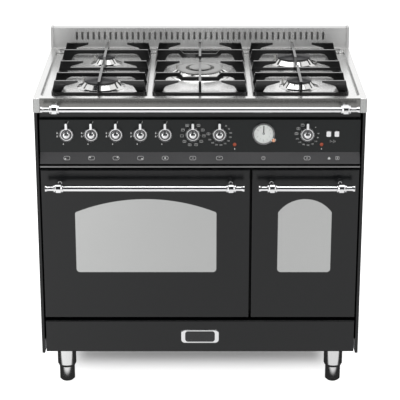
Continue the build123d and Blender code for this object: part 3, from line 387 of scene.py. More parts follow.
class NodeTree:
    """A short way to add shader nodes to a tree and wire them."""

    RAMP_ENDS: Pair = (0.3, 0.7)

    def __init__(self, tree: bpy.types.NodeTree) -> None:
        """Keeps the tree that nodes are added to."""
        self.tree = tree

    @staticmethod
    def fresh(holder: Material | bpy.types.World) -> "NodeTree":
        """Empties the tree of a new material or world.

        Args:
            holder: The material or world.

        Returns:
            Its tree.
        """
        holder.use_nodes = True
        holder.node_tree.nodes.clear()
        return NodeTree(holder.node_tree)

    def add(self, kind: str, *ordered: object, settings: dict[str, object] | None = None,
            **inputs: object) -> Node:
        """Adds a node, sets its properties and fills its inputs.

        Args:
            kind: The node's type without the leading ShaderNode.
            ordered: Values or output sockets for its first inputs, in order.
            settings: Properties of the node.
            inputs: Values or output sockets by input name, with _ for a space.

        Returns:
            The new node.
        """
        node = self.tree.nodes.new("ShaderNode" + kind)
        for key, value in (settings or {}).items():
            setattr(node, key, value)
        for socket, value in zip(node.inputs, ordered):
            self.feed(socket, value)
        for key, value in inputs.items():
            self.feed(node.inputs[key.replace("_", " ")], value)
        return node

    def feed(self, socket: Socket, value: object) -> None:
        """Links an output to an input, or sets the input's own value.

        Args:
            socket: The input.
            value: An output socket, or a value.
        """
        if isinstance(value, Socket):
            self.tree.links.new(value, socket)
        else:
            socket.default_value = value

    def group(self, shared: bpy.types.NodeTree, **inputs: object) -> Node:
        """Adds a shared node group."""
        return self.add("Group", settings={"node_tree": shared}, **inputs)

    def math(self, operation: str, first: object, second: object = 0.0) -> Socket:
        """The result of a math node on values or sockets."""
        return self.add("Math", first, second, settings={"operation": operation}).outputs[0]

    def product(self, *factors: object) -> Socket:
        """The product of two or more values or sockets."""
        return reduce(lambda first, second: self.math("MULTIPLY", first, second), factors)

    def ramp(self, factor: Socket, low: Colour, high: Colour) -> Socket:
        """A colour that runs from low to high as the factor goes over the middle of its range.

        Args:
            factor: A value from 0 to 1.
            low: The colour at the ramp's start.
            high: The colour at its end.

        Returns:
            The socket that carries the colour.
        """
        node = self.add("ValToRGB", factor)
        for element, place, colour in zip(node.color_ramp.elements, self.RAMP_ENDS, (low, high)):
            element.position = place
            element.color = (*colour, 1)
        return node.outputs["Color"]

    def blend(self, factor: Socket, first: object, second: object) -> Socket:
        """A mix of two colours.

        Args:
            factor: 0 for the first, 1 for the second.
            first: A colour or socket.
            second: A colour or socket.

        Returns:
            The socket that carries the mixed colour.
        """
        node = self.add("Mix", factor, settings={"data_type": "RGBA"})
        colours = [socket for socket in node.inputs if socket.type == "RGBA"]
        for socket, value in zip(colours, (first, second)):
            self.feed(socket, value if isinstance(value, Socket) else (*value, 1))
        return next(socket for socket in node.outputs if socket.type == "RGBA")

    def span(self, value: Socket, low: object, high: object, ends: Pair = (0.0, 1.0),
             smooth: bool = False) -> Socket:
        """A value that runs from low to high as another goes from one end of a range to the other.

        Args:
            value: The value that is followed.
            low: The result at the range's start.
            high: The result at its end.
            ends: The range's start and end.
            smooth: Whether it eases in and out, or runs evenly.

        Returns:
            The socket that carries the result.
        """
        kind = "SMOOTHSTEP" if smooth else "LINEAR"
        node = self.add("MapRange", settings={"interpolation_type": kind}, Value=value, From_Min=ends[0],
                        From_Max=ends[1], To_Min=low, To_Max=high)
        return node.outputs["Result"]

    def step(self, value: Socket, ends: Pair) -> Socket:
        """A smooth step from 0 at the range's start to 1 at its end."""
        return self.span(value, 0.0, 1.0, ends, smooth=True)


def new_group(name: str, inputs: dict[str, str],
              outputs: dict[str, str]) -> tuple[NodeTree, dict[str, Socket], dict[str, Socket]]:
    """Starts a shader node group.

    Args:
        name: The group's name.
        inputs: Socket types by input name.
        outputs: Socket types by output name.

    Returns:
        Its tree, the sockets that bring its inputs in, and the sockets that take its outputs.
    """
    group = bpy.data.node_groups.new(name, "ShaderNodeTree")
    for way, sockets in (("INPUT", inputs), ("OUTPUT", outputs)):
        for key, kind in sockets.items():
            group.interface.new_socket(key, in_out=way, socket_type="NodeSocket" + kind)
    start, end = group.nodes.new("NodeGroupInput"), group.nodes.new("NodeGroupOutput")
    given = {key: start.outputs[key] for key in inputs}
    return NodeTree(group), given, {key: end.inputs[key] for key in outputs}


class Effects:
    """The surface effects that several finishes share, each one a node group."""

    EDGE_ENDS: Pair = (0.98, 0.8)

    def __init__(self) -> None:
        """Builds the groups once."""
        self.grain = self.build_grain()
        self.edges = self.build_edges()

    def build_grain(self) -> bpy.types.NodeTree:
        """Fine noise for grain and bump, and wide noise for the slow drift of a real surface.

        Returns:
            The group.
        """
        tree, given, made = new_group(
            "surface_grain", {"Vector": "Vector", "Fine": "Float", "Wide": "Float"},
            {"Grain": "Float", "Drift": "Float"})
        fine = tree.add("TexNoise", Vector=given["Vector"], Scale=given["Fine"], Detail=4.0, Roughness=0.6)
        wide = tree.add("TexNoise", Vector=given["Vector"], Scale=given["Wide"], Detail=3.0)
        tree.feed(made["Grain"], fine.outputs[0])
        tree.feed(made["Drift"], wide.outputs[0])
        return tree.tree

    def build_edges(self) -> bpy.types.NodeTree:
        """A normal that rounds edges over a radius, and a mask that is 1 along those edges.

        Returns:
            The group.
        """
        tree, given, made = new_group(
            "soft_edges", {"Radius": "Float"}, {"Normal": "Vector", "Edge": "Float"})
        bevel = tree.add("Bevel", settings={"samples": 4}, Radius=given["Radius"])
        straight = tree.add("NewGeometry").outputs["Normal"]
        along = tree.add("VectorMath", bevel.outputs[0], straight, settings={"operation": "DOT_PRODUCT"})
        tree.feed(made["Normal"], bevel.outputs[0])
        tree.feed(made["Edge"], tree.span(along.outputs["Value"], 0.0, 1.0, self.EDGE_ENDS))
        return tree.tree


class Axis(Enum):
    """The direction that a zone is measured along: out from the middle, or up from the floor."""

    ACROSS = "X"
    DEPTH = "Y"
    UP = "Z"


@dataclass(frozen=True)
class Zone:
    """A stretch of a surface that has another colour, and another share of metal where one is given.

    Where it lies within other stretches, it is only as large as what they all share.
    """

    axis: Axis
    start: float
    end: float
    colour: Colour = (0.0, 0.0, 0.0)
    metallic: float | None = None
    within: tuple["Zone", ...] = ()

    def mask(self, tree: NodeTree, place: Socket) -> Socket:
        """1 inside the stretch and 0 outside it.

        Args:
            tree: The material's tree.
            place: The object coordinates.

        Returns:
            The socket that carries the mask.
        """
        away = tree.math("ABSOLUTE", tree.add("SeparateXYZ", place).outputs[self.axis.value])
        return tree.product(
            tree.math("GREATER_THAN", away, self.start), tree.math("LESS_THAN", away, self.end),
            *(zone.mask(tree, place) for zone in self.within))


@dataclass(frozen=True)
class Grain:
    """How a surface wavers: the spread of its colour, the scales of its fine and wide noise, its bump."""

    spread: float = 0.12
    fine: float = 900.0
    wide: float = 7.0
    bump: float = 0.05
    bump_depth: float = 0.2 * MM
    stretch: Triple = (1.0, 1.0, 1.0)


@dataclass(frozen=True)
class Finish:
    """A surface finish: its colour, gloss, grain and edges."""

    name: str
    colour: Colour
    roughness: Pair
    metallic: float = 0.0
    grain: Grain = Grain()
    edge_radius: float = 0.8 * MM
    edge_colour: Colour | None = None
    speck_colour: Colour | None = None
    speck_scale: float = 260.0
    speck_size: float = 0.16
    zones: tuple[Zone, ...] = ()
    specular: float = 0.5
    coat: float = 0.0
    coat_roughness: float = 0.08
    transmission: float = 0.0
    glow: float = 0.0

    GLOSS_ENDS = (0.25, 0.75)

    def build(self, effects: Effects) -> Material:
        """Makes the material.

        Args:
            effects: The shared node groups.

        Returns:
            The material, with its colour, roughness and bump driven by the grain.
        """
        material = bpy.data.materials.new("finish_" + self.name)
        tree = NodeTree.fresh(material)
        place = tree.add("TexCoord").outputs["Object"]
        lie = tree.add("Mapping", Vector=place, Scale=self.grain.stretch).outputs["Vector"]
        grain = tree.group(effects.grain, Vector=lie, Fine=self.grain.fine, Wide=self.grain.wide).outputs
        edges = tree.group(effects.edges, Radius=self.edge_radius).outputs
        bump = tree.add("Bump", Strength=self.grain.bump, Distance=self.grain.bump_depth,
                        Height=grain["Grain"], Normal=edges["Normal"])
        waver = tree.product(tree.math("ADD", grain["Grain"], grain["Drift"]), 0.5)
        colour, metal = self.colour_and_metal(tree, place, waver, edges["Edge"])
        shader = tree.add(
            "BsdfPrincipled", Base_Color=colour, Metallic=metal, Normal=bump.outputs["Normal"],
            Roughness=tree.span(grain["Drift"], *self.roughness, self.GLOSS_ENDS),
            Specular_IOR_Level=self.specular, Coat_Weight=self.coat, Coat_Roughness=self.coat_roughness,
            Transmission_Weight=self.transmission, Emission_Color=(*self.colour, 1),
            Emission_Strength=self.glow)
        surface = shader.outputs["BSDF"]
        if self.transmission:
            surface = self.lit_through(tree, surface)
        tree.add("OutputMaterial", Surface=surface)
        return material

    @staticmethod
    def lit_through(tree: NodeTree, surface: Socket) -> Socket:
        """The glass shader, made clear to shadow rays so that lamps light what lies behind it."""
        shadow = tree.add("LightPath").outputs["Is Shadow Ray"]
        return tree.add("MixShader", shadow, surface, tree.add("BsdfTransparent").outputs[0]).outputs[0]

    def colour_and_metal(self, tree: NodeTree, place: Socket, waver: Socket,
                         edge: Socket) -> tuple[Socket, float | Socket]:
        """The colour with its drift, zones (painted light and shade on some finishes), specks and edges lightened
        for slight wear and a painted highlight, and the share of metal.

        Args:
            tree: The material's tree.
            place: The object coordinates.
            waver: The noise that the colour follows.
            edge: The mask of the edges.

        Returns:
            The socket that carries the colour, and the metal: one number, or a socket where zones differ.
        """
        colour, metal = self.drift(tree, waver, self.colour), self.metallic
        for zone in self.zones:
            mask = zone.mask(tree, place)
            colour = tree.blend(mask, colour, self.drift(tree, waver, zone.colour))
            if zone.metallic is not None:
                metal = tree.span(mask, metal, zone.metallic)
        if self.speck_colour:
            away = tree.add("TexVoronoi", Vector=place, Scale=self.speck_scale).outputs["Distance"]
            colour = tree.blend(tree.math("LESS_THAN", away, self.speck_size), colour, self.speck_colour)
        # Edges lighter: slight wear and a painted highlight.
        if self.edge_colour:
            colour = tree.blend(edge, colour, self.edge_colour)
        return colour, metal

    def drift(self, tree: NodeTree, waver: Socket, colour: Colour) -> Socket:
        """A colour that wavers by the grain's spread, darker and lighter than it is named."""
        shares = (1 - self.grain.spread, 1 + self.grain.spread)
        return tree.ramp(waver, *(tuple(min(1.0, share * c) for c in colour) for share in shares))


class Finishes:
    """Every finish on the cooker, by the record's slot or by the piece that needs its own."""

    ENAMEL = Grain(fine=420, bump=0.03)
    BRUSHED = Grain(0.05, 1300, 3.0, 0.03, stretch=(0.012, 1.0, 1.0))
    BRUSHED_UP = Grain(0.05, 1100, 9.0, 0.03, stretch=(1.0, 1.0, 0.012))
    INK = Grain(0.08, 2200, 40.0, 0.02)

    # Painted sheen: the panel's sloping lip is made lighter for the light it catches from above.
    PANEL_LIP = Zone(Axis.UP, 0.0, 0.694, (0.064, 0.064, 0.066))
    # Painted shade: the recess under the hob's lip is made dark, with a dark metal colour that dims its reflection
    # too.
    PANEL_RECESS = Zone(Axis.UP, 0.7865, 1.0, (0.042, 0.042, 0.043), 1.0)
    # Painted shade: the hob's front lip is made darker for the dim reflection that it shows.
    HOB_LIP = Zone(Axis.DEPTH, 0.266, 0.275, (0.23, 0.23, 0.222))
    # Painted light: the hob's side strips get a tone of their own, set for how their corner blocks catch the
    # light.
    HOB_SIDES = Zone(Axis.ACROSS, 0.4318, 1.0, (0.86, 0.86, 0.855))
    # Painted shade: the ends of the front lip, below the top, are made darker against the bright sides they
    # reflect.
    HOB_LIP_ENDS = Zone(Axis.DEPTH, 0.248, 0.275, (0.5, 0.505, 0.5),
                        within=(HOB_SIDES, Zone(Axis.UP, 0.0, 0.8475)))
    WOK_PARTS = Zone(Axis.ACROSS, 0.0, 0.1, (0.3, 0.3, 0.295))

    def __init__(self) -> None:
        """Builds each material once."""
        effects = Effects()
        self.made: dict[str, Material] = {finish.name: finish.build(effects) for finish in self.listed()}

    def listed(self) -> list[Finish]:
        """The finishes, from the bodywork to the print on it.

        Returns:
            One finish for each name that a slot, a node or a look asks for.
        """
        return [
            Finish("charcoal_enamel", (0.0036, 0.004, 0.0046), (0.17, 0.24), 0.0, self.ENAMEL, 1.2 * MM,
                   (0.012, 0.012, 0.013), specular=0.43),
            # Painted shade: a darker, duller copy of the charcoal enamel for the front frame, whose recesses and
            # door gaps lie in shade.
            Finish("frame_enamel", (0.003, 0.003, 0.0033), (0.25, 0.35), 0.0, self.ENAMEL, 1.2 * MM,
                   (0.008, 0.008, 0.009), specular=0.14),
            Finish("panel_enamel", (0.005, 0.0066, 0.0068), (0.2, 0.28), 0.0, self.ENAMEL, 1.2 * MM,
                   (0.018, 0.02, 0.02), zones=(self.PANEL_LIP, self.PANEL_RECESS), specular=0.35),
            Finish("stainless_steel", (0.76, 0.755, 0.74), (0.33, 0.42), 1.0,
                   replace(self.BRUSHED, bump=0.05), 1.0 * MM),
            Finish("backguard_steel", (0.66, 0.66, 0.655), (0.34, 0.44), 0.6, self.BRUSHED, 1.0 * MM),
            Finish("trim_steel", (0.22, 0.22, 0.22), (0.2, 0.3), 1.0, self.BRUSHED, 0.5 * MM),
            Finish("hob_steel", (0.91, 0.91, 0.905), (0.2, 0.28), 0.86, replace(self.BRUSHED, spread=0.04),
                   1.0 * MM, zones=(self.HOB_LIP, self.HOB_SIDES, self.HOB_LIP_ENDS)),
            Finish("leg_steel", (0.74, 0.74, 0.74), (0.1, 0.17), 1.0, self.BRUSHED_UP),
            Finish("zinc_plated_steel", (0.5, 0.51, 0.52), (0.32, 0.5), 1.0,
                   Grain(0.16, 120, 24.0, 0.03), 0.5 * MM),
            Finish("polished_chrome", (0.84, 0.84, 0.85), (0.035, 0.08), 1.0,
                   Grain(0.02, 300, 14.0, 0.004), 0.6 * MM),
            Finish("black_cast_iron", (0.004, 0.004, 0.0043), (0.26, 0.38), 0.0,
                   Grain(0.3, 700, 18.0, 0.08, 0.3 * MM), 1.6 * MM, (0.016, 0.016, 0.017),
                   specular=0.3, coat=0.9),
            Finish("burner_aluminium", (0.74, 0.74, 0.73), (0.07, 0.13), 1.0,
                   Grain(0.08, 800, 20.0, 0.03), 0.6 * MM),
            Finish("grey_enamel", (0.036, 0.036, 0.038), (0.28, 0.4), 0.0,
                   Grain(0.14, 600, 16.0, 0.05), 1.2 * MM, zones=(self.WOK_PARTS,)),
            Finish("oven_enamel", (0.011, 0.012, 0.015), (0.1, 0.18), 0.0,
                   Grain(0.15, 240, 8.0, 0.03), 1.0 * MM, speck_colour=(0.12, 0.13, 0.15)),
            Finish("window_glass", (0.5, 0.505, 0.5), (0.05, 0.09), 0.95,
                   Grain(0.015, 40, 2.5, 0.0), 0.5 * MM),
            Finish("clear_glass", (0.93, 0.95, 0.94), (0.0, 0.02), 0.0,
                   Grain(0.01, 200, 5.0, 0.0), 0.3 * MM, transmission=1.0),
            Finish("seal_rubber", (0.02, 0.02, 0.02), (0.65, 0.85), 0.0,
                   Grain(0.25, 1500, 30.0, 0.2), 1.0 * MM),
            Finish("brass", (0.6, 0.42, 0.17), (0.22, 0.38), 1.0, Grain(0.1, 700, 18.0, 0.04)),
            Finish("copper_brass", (0.78, 0.42, 0.28), (0.1, 0.2), 1.0,
                   Grain(0.06, 900, 40.0, 0.02), 0.4 * MM),
            Finish("black_plastic", (0.014, 0.014, 0.014), (0.4, 0.55), 0.0,
                   Grain(0.2, 1600, 40.0, 0.06), 0.3 * MM),
            Finish("white_dial", (0.78, 0.78, 0.77), (0.35, 0.5), 0.0,
                   Grain(0.03, 1400, 60.0, 0.02), 0.2 * MM),
            Finish("white_ceramic", (0.36, 0.355, 0.34), (0.3, 0.45), 0.0,
                   Grain(0.05, 900, 30.0, 0.03), 0.4 * MM),
            Finish("amber_lens", (0.27, 0.036, 0.006), (0.12, 0.2), 0.0,
                   Grain(0.1, 500, 60.0, 0.01), 0.4 * MM, coat=0.4, glow=0.06),
            Finish("white_print", (0.5, 0.5, 0.495), (0.45, 0.6), 0.0, self.INK, 0.05 * MM),
            Finish("grey_print", (0.2, 0.2, 0.2), (0.45, 0.6), 0.0, self.INK, 0.05 * MM),
            # Near black for the clock's bezel inlay and for the painted shadow in the knob grooves.
            Finish("groove_black", (0.03, 0.03, 0.031), (0.3, 0.45), 0.0,
                   Grain(0.2, 1800, 60.0, 0.02), 0.1 * MM),
            Finish("plate_enamel", (0.014, 0.014, 0.015), (0.18, 0.3), 0.0, Grain(0.2, 500, 30.0, 0.03)),
        ]

    def dress(self, own: dict[str, str]) -> None:
        """Gives every CAD node its finish.

        Args:
            own: Finishes by node, where a node's isn't the one named after its slot.
        """
        for row in frame["record"]["subparts"]:
            node = frame["nodes"][row["node"]]
            name = own.get(row["node"], row["material_slot"])
            node.data.materials.clear()
            node.data.materials.append(self.made[name])
            LOG.info("node %s: %s", row["node"], name)


def joint_place(joint: str) -> np.ndarray:
    """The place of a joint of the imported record."""
    return np.array(next(row["pos_m"] for row in frame["joints"] if row["name"] == joint))


def corners(node: str) -> tuple[np.ndarray, np.ndarray]:
    """The low and the high corner of a node's box."""
    low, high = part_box(node)
    return np.array(low), np.array(high)


def middle_of(node: str) -> np.ndarray:
    """The middle of a node's box."""
    return sum(corners(node)) / 2


@dataclass
class SubAssembly:
    """A group of new pieces, with the finishes that they are dressed in."""

    finishes: Finishes

    def add(self, name: str, patch: Patch, body: str, look: Look, smooth: float = 0.0) -> None:
        """Turns a patch into a piece of the cooker.

        Args:
            name: The piece's name.
            patch: Its surface, in the cooker's frame.
            body: The body that it rides on.
            look: Its look, from which it takes its finish.
            smooth: The angle in degrees under which edges look round, or 0 for flat faces.
        """
        slot, finish = look.value
        mesh = bpy.data.meshes.new(name)
        mesh.from_pydata(patch.points, [], patch.quads.tolist() + patch.triangles.tolist())
        shell = bmesh.new()
        shell.from_mesh(mesh)
        bmesh.ops.recalc_face_normals(shell, faces=shell.faces)
        shell.to_mesh(mesh)
        shell.free()
        if smooth:
            mesh.shade_smooth()
            mesh.set_sharp_from_angle(angle=math.radians(smooth))
        mesh.materials.append(self.finishes.made[finish])
        piece = bpy.data.objects.new(name, mesh)
        bpy.context.scene.collection.objects.link(piece)
        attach(piece, body)
        LOG.info("piece %s: %d points on %s", name, len(patch.points), body)


@dataclass(frozen=True)
class Mark:
    """A printed shape in millimetres: a line of a width along a path, or an outline that is filled."""

    path: np.ndarray
    width: float = 0.0
    closed: bool = False

    def on(self, spot: Spot, ink: float) -> Patch:
        """The mark on a plane, as print of a thickness."""
        path = self.path * MM
        return (stroke(path, self.width * MM, ink, self.closed) if self.width else slab(path, ink)).on(spot)


@dataclass(frozen=True)
class KnobScale:
    """What stands round an oven knob: symbols and dots at angles, and numbers over a range of angles."""

    knob: str
    icons: tuple[tuple[int, float], ...]
    dots: tuple[float, ...] = ()
    numbers: range = range(0)
    ends: Pair = (0.0, 0.0)


@dataclass
class ControlPanel(SubAssembly):
    """The print on the control panel and on its sloping lip."""

    ink: float = 0.1 * MM
    lip_height: float = 30.0 * MM
    ring_radius: float = 30.0 * MM
    digit_size: float = 5.2 * MM
    under_lamp: float = 7.0 * MM
    under_button: float = 12.0 * MM

    LINE, BAR_LINE, THIN_LINE = 0.9, 0.72, 0.63
    BORDER = Mark(rounded_rectangle(16.5, 10.0, 4.0), LINE, True)
    BURNER_DOT = circle(2.3)
    RING_DOT = Mark(circle(1.1))
    ICON_FRAME = Mark(rounded_rectangle(8.4, 6.2, 1.2), THIN_LINE, True)
    ICON_TOP = Mark(np.array(((-2.52, 1.488), (2.52, 1.488))), BAR_LINE)
    ICON_BOTTOM = Mark(np.array(((-2.52, -1.488), (2.52, -1.488))), BAR_LINE)
    ICON_FAN = Mark(circle(1.24, 14), THIN_LINE, True)
    GAS_MARKS = (
        Mark(flame(4.4, 6.6) + (-25.4, 4.6)),
        Mark(flame(4.4, 6.6) + (-25.4, -4.6)),
        Mark(flame(3.52, 5.28) + (-9.0, -26.6)),
        Mark(np.array(((3.6, 31.4), (5.6, 34.6), (4.4, 34.4), (6.6, 37.4))), 0.81))
    CLOCK_MARKS = (Mark(circle(4.6), LINE, True), Mark(np.array(((0, 2.4), (0, 0), (1.8, 0))), BAR_LINE))
    TIMER_MARKS = (Mark(flame(9.0, 8.0) + (2.5, 0)),)
    LIGHT_MARKS = (
        Mark(rounded_rectangle(9.0, 8.4, 1.4) + (3.0, 0), LINE, True),
        Mark(circle(1.6) + (3.0, 0)))
    LAMP_MARKS = (Mark(flame(3.4, 5.4)),)
    BUTTON_MARKS = (
        Mark(np.array(((-6.6, 3.4), (-6.6, -3.4), (-0.8, 0.0))), THIN_LINE, True),
        Mark(np.array(((4.98, 0.0), (3.0, 3.52), (1.02, 0.0), (3.0, -3.52))), THIN_LINE, True),
        Mark(np.array(((7.6, -2.0), (7.6, 2.0))), THIN_LINE))
    LIP_ICONS = {"oven_function": 5, "main_oven_heat": 4, "small_oven_heat": 6}
    SCALES = (
        KnobScale("oven_function", tuple(enumerate(np.linspace(31.0, 329.0, 10)))),
        KnobScale("main_oven_heat", ((1, 274.0),), (), range(50, 300, 25), (36.0, 241.0)),
        KnobScale("small_oven_heat", ((0, 275.0), (1, 304.0), (2, 333.0)), (47.0,), range(60, 260, 25),
                  (84.0, 246.0)))

    def build(self) -> None:
        """Prints every mark as one piece."""
        marks = [mark.on(spot, self.ink) for drawing, spot in self.drawings() for mark in drawing]
        self.add("panel_marks", joined(marks + self.digits()), ROOT_BODY, Look.PANEL_PRINT)

    def drawings(self) -> Iterator[tuple[Iterable[Mark], Spot]]:
        """Every drawing on the panel and its lip.

        Returns:
            The marks of each drawing, with the plane that it is printed on.
        """
        for place in HobPlace:
            knob = self.knob_spot(f"{place.name.lower()}_burner")
            yield self.GAS_MARKS, knob
            yield (self.BORDER, Mark(self.BURNER_DOT + place.value)), self.lip_spot(knob.origin[0])
        for scale in self.SCALES:
            for kind, angle in scale.icons:
                yield [self.ICON_FRAME] + self.icon(kind), self.ring_spot(scale.knob, angle)
            for angle in scale.dots:
                yield [self.RING_DOT], self.ring_spot(scale.knob, angle)
        for knob, kind in self.LIP_ICONS.items():
            yield [self.BORDER] + self.icon(kind), self.lip_spot(self.knob_spot(knob).origin[0])
        timer, light = middle_of("button_timer")[0], middle_of("button_light")[0]
        yield self.CLOCK_MARKS, self.lip_spot(joint_place("clock_minute_turn")[0])
        yield self.TIMER_MARKS, self.lip_spot(timer)
        yield self.LIGHT_MARKS, self.lip_spot(light)
        face = self.knob_spot("wok_burner").origin[1]
        low, high = corners("indicator_lamps")
        radius = (high[2] - low[2]) / 2
        for x in (low[0] + radius, high[0] - radius):
            yield self.LAMP_MARKS, Spot.facing(Side.FRONT, x, face, low[2] - self.under_lamp)
        under = corners("button_timer")[0][2] - self.under_button
        yield self.BUTTON_MARKS, Spot.facing(Side.FRONT, (timer + light) / 2, face, under)

    def digits(self) -> list[Patch]:
        """The temperatures round the heat knobs.

        Returns:
            The numbers, each in its place.
        """
        return [lettering(str(number), self.digit_size, self.ink).on(self.ring_spot(scale.knob, angle))
                for scale in self.SCALES
                for number, angle in zip(scale.numbers, np.linspace(*scale.ends, len(scale.numbers)))]

    def icon(self, kind: int) -> list[Mark]:
        """The lines in an oven symbol, chosen by remainders: heat from the top, from the bottom, a fan."""
        lines = ((self.ICON_TOP, 2, 0), (self.ICON_BOTTOM, 3, 0), (self.ICON_FAN, 4, 1))
        return [mark for mark, divisor, rest in lines if kind % divisor == rest]

    def knob_spot(self, knob: str) -> Spot:
        """The panel's face at a knob."""
        return Spot.facing(Side.FRONT, *joint_place(f"knob_{knob}_turn"))

    def ring_spot(self, knob: str, degrees: float) -> Spot:
        """A place on the ring round a knob, clockwise from the top."""
        return self.knob_spot(knob).round_at(self.ring_radius, math.radians(degrees))

    def lip_spot(self, x: float) -> Spot:
        """The middle of the sloping lip at a place across the panel.

        Args:
            x: The place.

        Returns:
            A plane that lies in the lip, whose up runs along its slope.
        """
        low, _ = corners("control_panel")
        slope = np.array((0, self.knob_spot("wok_burner").origin[1] - low[1], self.lip_height))
        up = slope / np.linalg.norm(slope)
        return Spot(np.array((x, low[1], low[2])) + slope / 2, np.array(((1, 0, 0), up, (0, -up[2], up[1]))))


@dataclass
class KnobGrooves(SubAssembly):
    """A painted shadow: a dark ring laid in the groove between each knob's rim and its dome, where shade falls."""

    radius: float = 13.6 * MM
    width: float = 2.1 * MM
    depth: float = 0.15 * MM
    floor: float = 4.0 * MM
    points: int = 64

    def build(self) -> None:
        """Lays one ring on each knob."""
        ring = stroke(circle(self.radius, self.points), self.width, self.depth, True)
        for row in frame["joints"]:
            if row["name"].startswith("knob_"):
                x, y, z = row["pos_m"]
                body = row["name"].removesuffix("_turn")
                spot = Spot.facing(Side.FRONT, x, y - self.floor, z)
                self.add(body + "_groove", ring.on(spot), body, Look.GROOVE)


@dataclass
class ClockFace(SubAssembly):
    """The hours and minutes printed on the clock's dial, and the dark inlay in its bezel."""

    inlay_radius: float = 27.8 * MM
    inlay_width: float = 2.5 * MM
    inlay_depth: float = 0.1 * MM
    inlay_points: int = 97
    crown_room: float = math.radians(11.0)
    dial_thickness: float = 1.0 * MM
    ink: float = 0.06 * MM
    hour_share: float = 0.7
    tick_share: float = 0.9
    digit_size: float = 5.4 * MM
    tick_length: float = 1.0 * MM
    tick_width: float = 0.35 * MM

    def build(self) -> None:
        """Prints the twelve hours and a tick for each minute, and lays the inlay."""
        low, high = corners("clock_dial")
        middle, radius = (low + high) / 2, (high[0] - low[0]) / 2
        face = Spot.facing(Side.FRONT, middle[0], high[1] - self.dial_thickness, middle[2])
        marks = []
        for hour in range(1, 13):
            spot = face.round_at(radius * self.hour_share, hour * math.pi / 6)
            marks.append(lettering(str(hour), self.digit_size, self.ink).on(spot))
        marks += [self.tick(radius * self.tick_share, minute).on(face) for minute in range(60)]
        self.add("clock_dial_print", joined(marks), ROOT_BODY, Look.CLOCK_PRINT)
        self.inlay(middle)

    def tick(self, end: float, minute: int) -> Patch:
        """The mark of a minute, a line towards the middle, twice as long and wide at each hour.

        Args:
            end: The distance of its outer end from the middle.
            minute: The minute.

        Returns:
            The mark as a patch.
        """
        weight = 2 if minute % 5 == 0 else 1
        turn = minute * math.pi / 30
        path = np.outer((end - weight * self.tick_length, end), (math.sin(turn), math.cos(turn)))
        return stroke(path, weight * self.tick_width, self.ink)

    def inlay(self, middle: np.ndarray) -> None:
        """Lays a flat ring on the bezel, an arc round the dial that is open where the crown stands.

        Args:
            middle: The middle of the dial.
        """
        away = joint_place("clock_crown_turn") - middle
        turn = np.linspace(self.crown_room, 2 * math.pi - self.crown_room, self.inlay_points)
        path = arc(self.inlay_radius, math.atan2(away[2], away[0]) + turn)
        spot = Spot.facing(Side.FRONT, middle[0], corners("clock_case")[0][1], middle[2])
        ring = stroke(path, self.inlay_width, self.inlay_depth).on(spot)
        self.add("clock_bezel_inlay", ring, ROOT_BODY, Look.GROOVE)


@dataclass
class FlapPlate(SubAssembly):
    """The bare plate in the middle of the storage flap: a dark field on a bright base."""

    width: float = 106.0 * MM
    height: float = 41.0 * MM
    radius: float = 11.0 * MM
    edge: float = 1.6 * MM
    rise: float = 2.4 * MM
    field_width: float = 84.0 * MM
    field_height: float = 32.0 * MM
    field_radius: float = 8.0 * MM
    field_rise: float = 0.3 * MM
    corner_points: int = 10
    body: str = "storage_flap"

    def build(self) -> None:
        """Makes the base with its bevelled edge, and the field on it."""
        low, high = corners("storage_flap")
        spot = Spot.facing(Side.FRONT, 0.0, low[1], (low[2] + high[2]) / 2)
        self.add("flap_plate_base", self.base().on(spot), self.body, Look.CHROME)
        inside = rounded_rectangle(
            self.field_width, self.field_height, self.field_radius, self.corner_points)
        field_plate = slab(inside, self.rise + self.field_rise).on(spot)
        self.add("flap_plate_field", field_plate, self.body, Look.PLATE)

    def base(self) -> Patch:
        """The bright base.

        Three rounded rectangles are stacked: two of full size at the flap and below the bevel, and
        one drawn in by the bevel at the top; walls join them and a fan from the middle closes the top.

        Returns:
            The base as a patch.
        """
        full, drawn_in = (
            rounded_rectangle(self.width - 2 * inset, self.height - 2 * inset, self.radius - inset,
                              self.corner_points) for inset in (0.0, self.edge))
        count = len(full)
        levels = ((full, 0.0), (full, self.rise - self.edge / 2), (drawn_in, self.rise),
                  (np.zeros((1, 2)), self.rise))
        points = np.concatenate([lifted(line, z) for line, z in levels])
        return Patch(points, grid_quads(3, count), fan(3 * count, 2 * count, count))


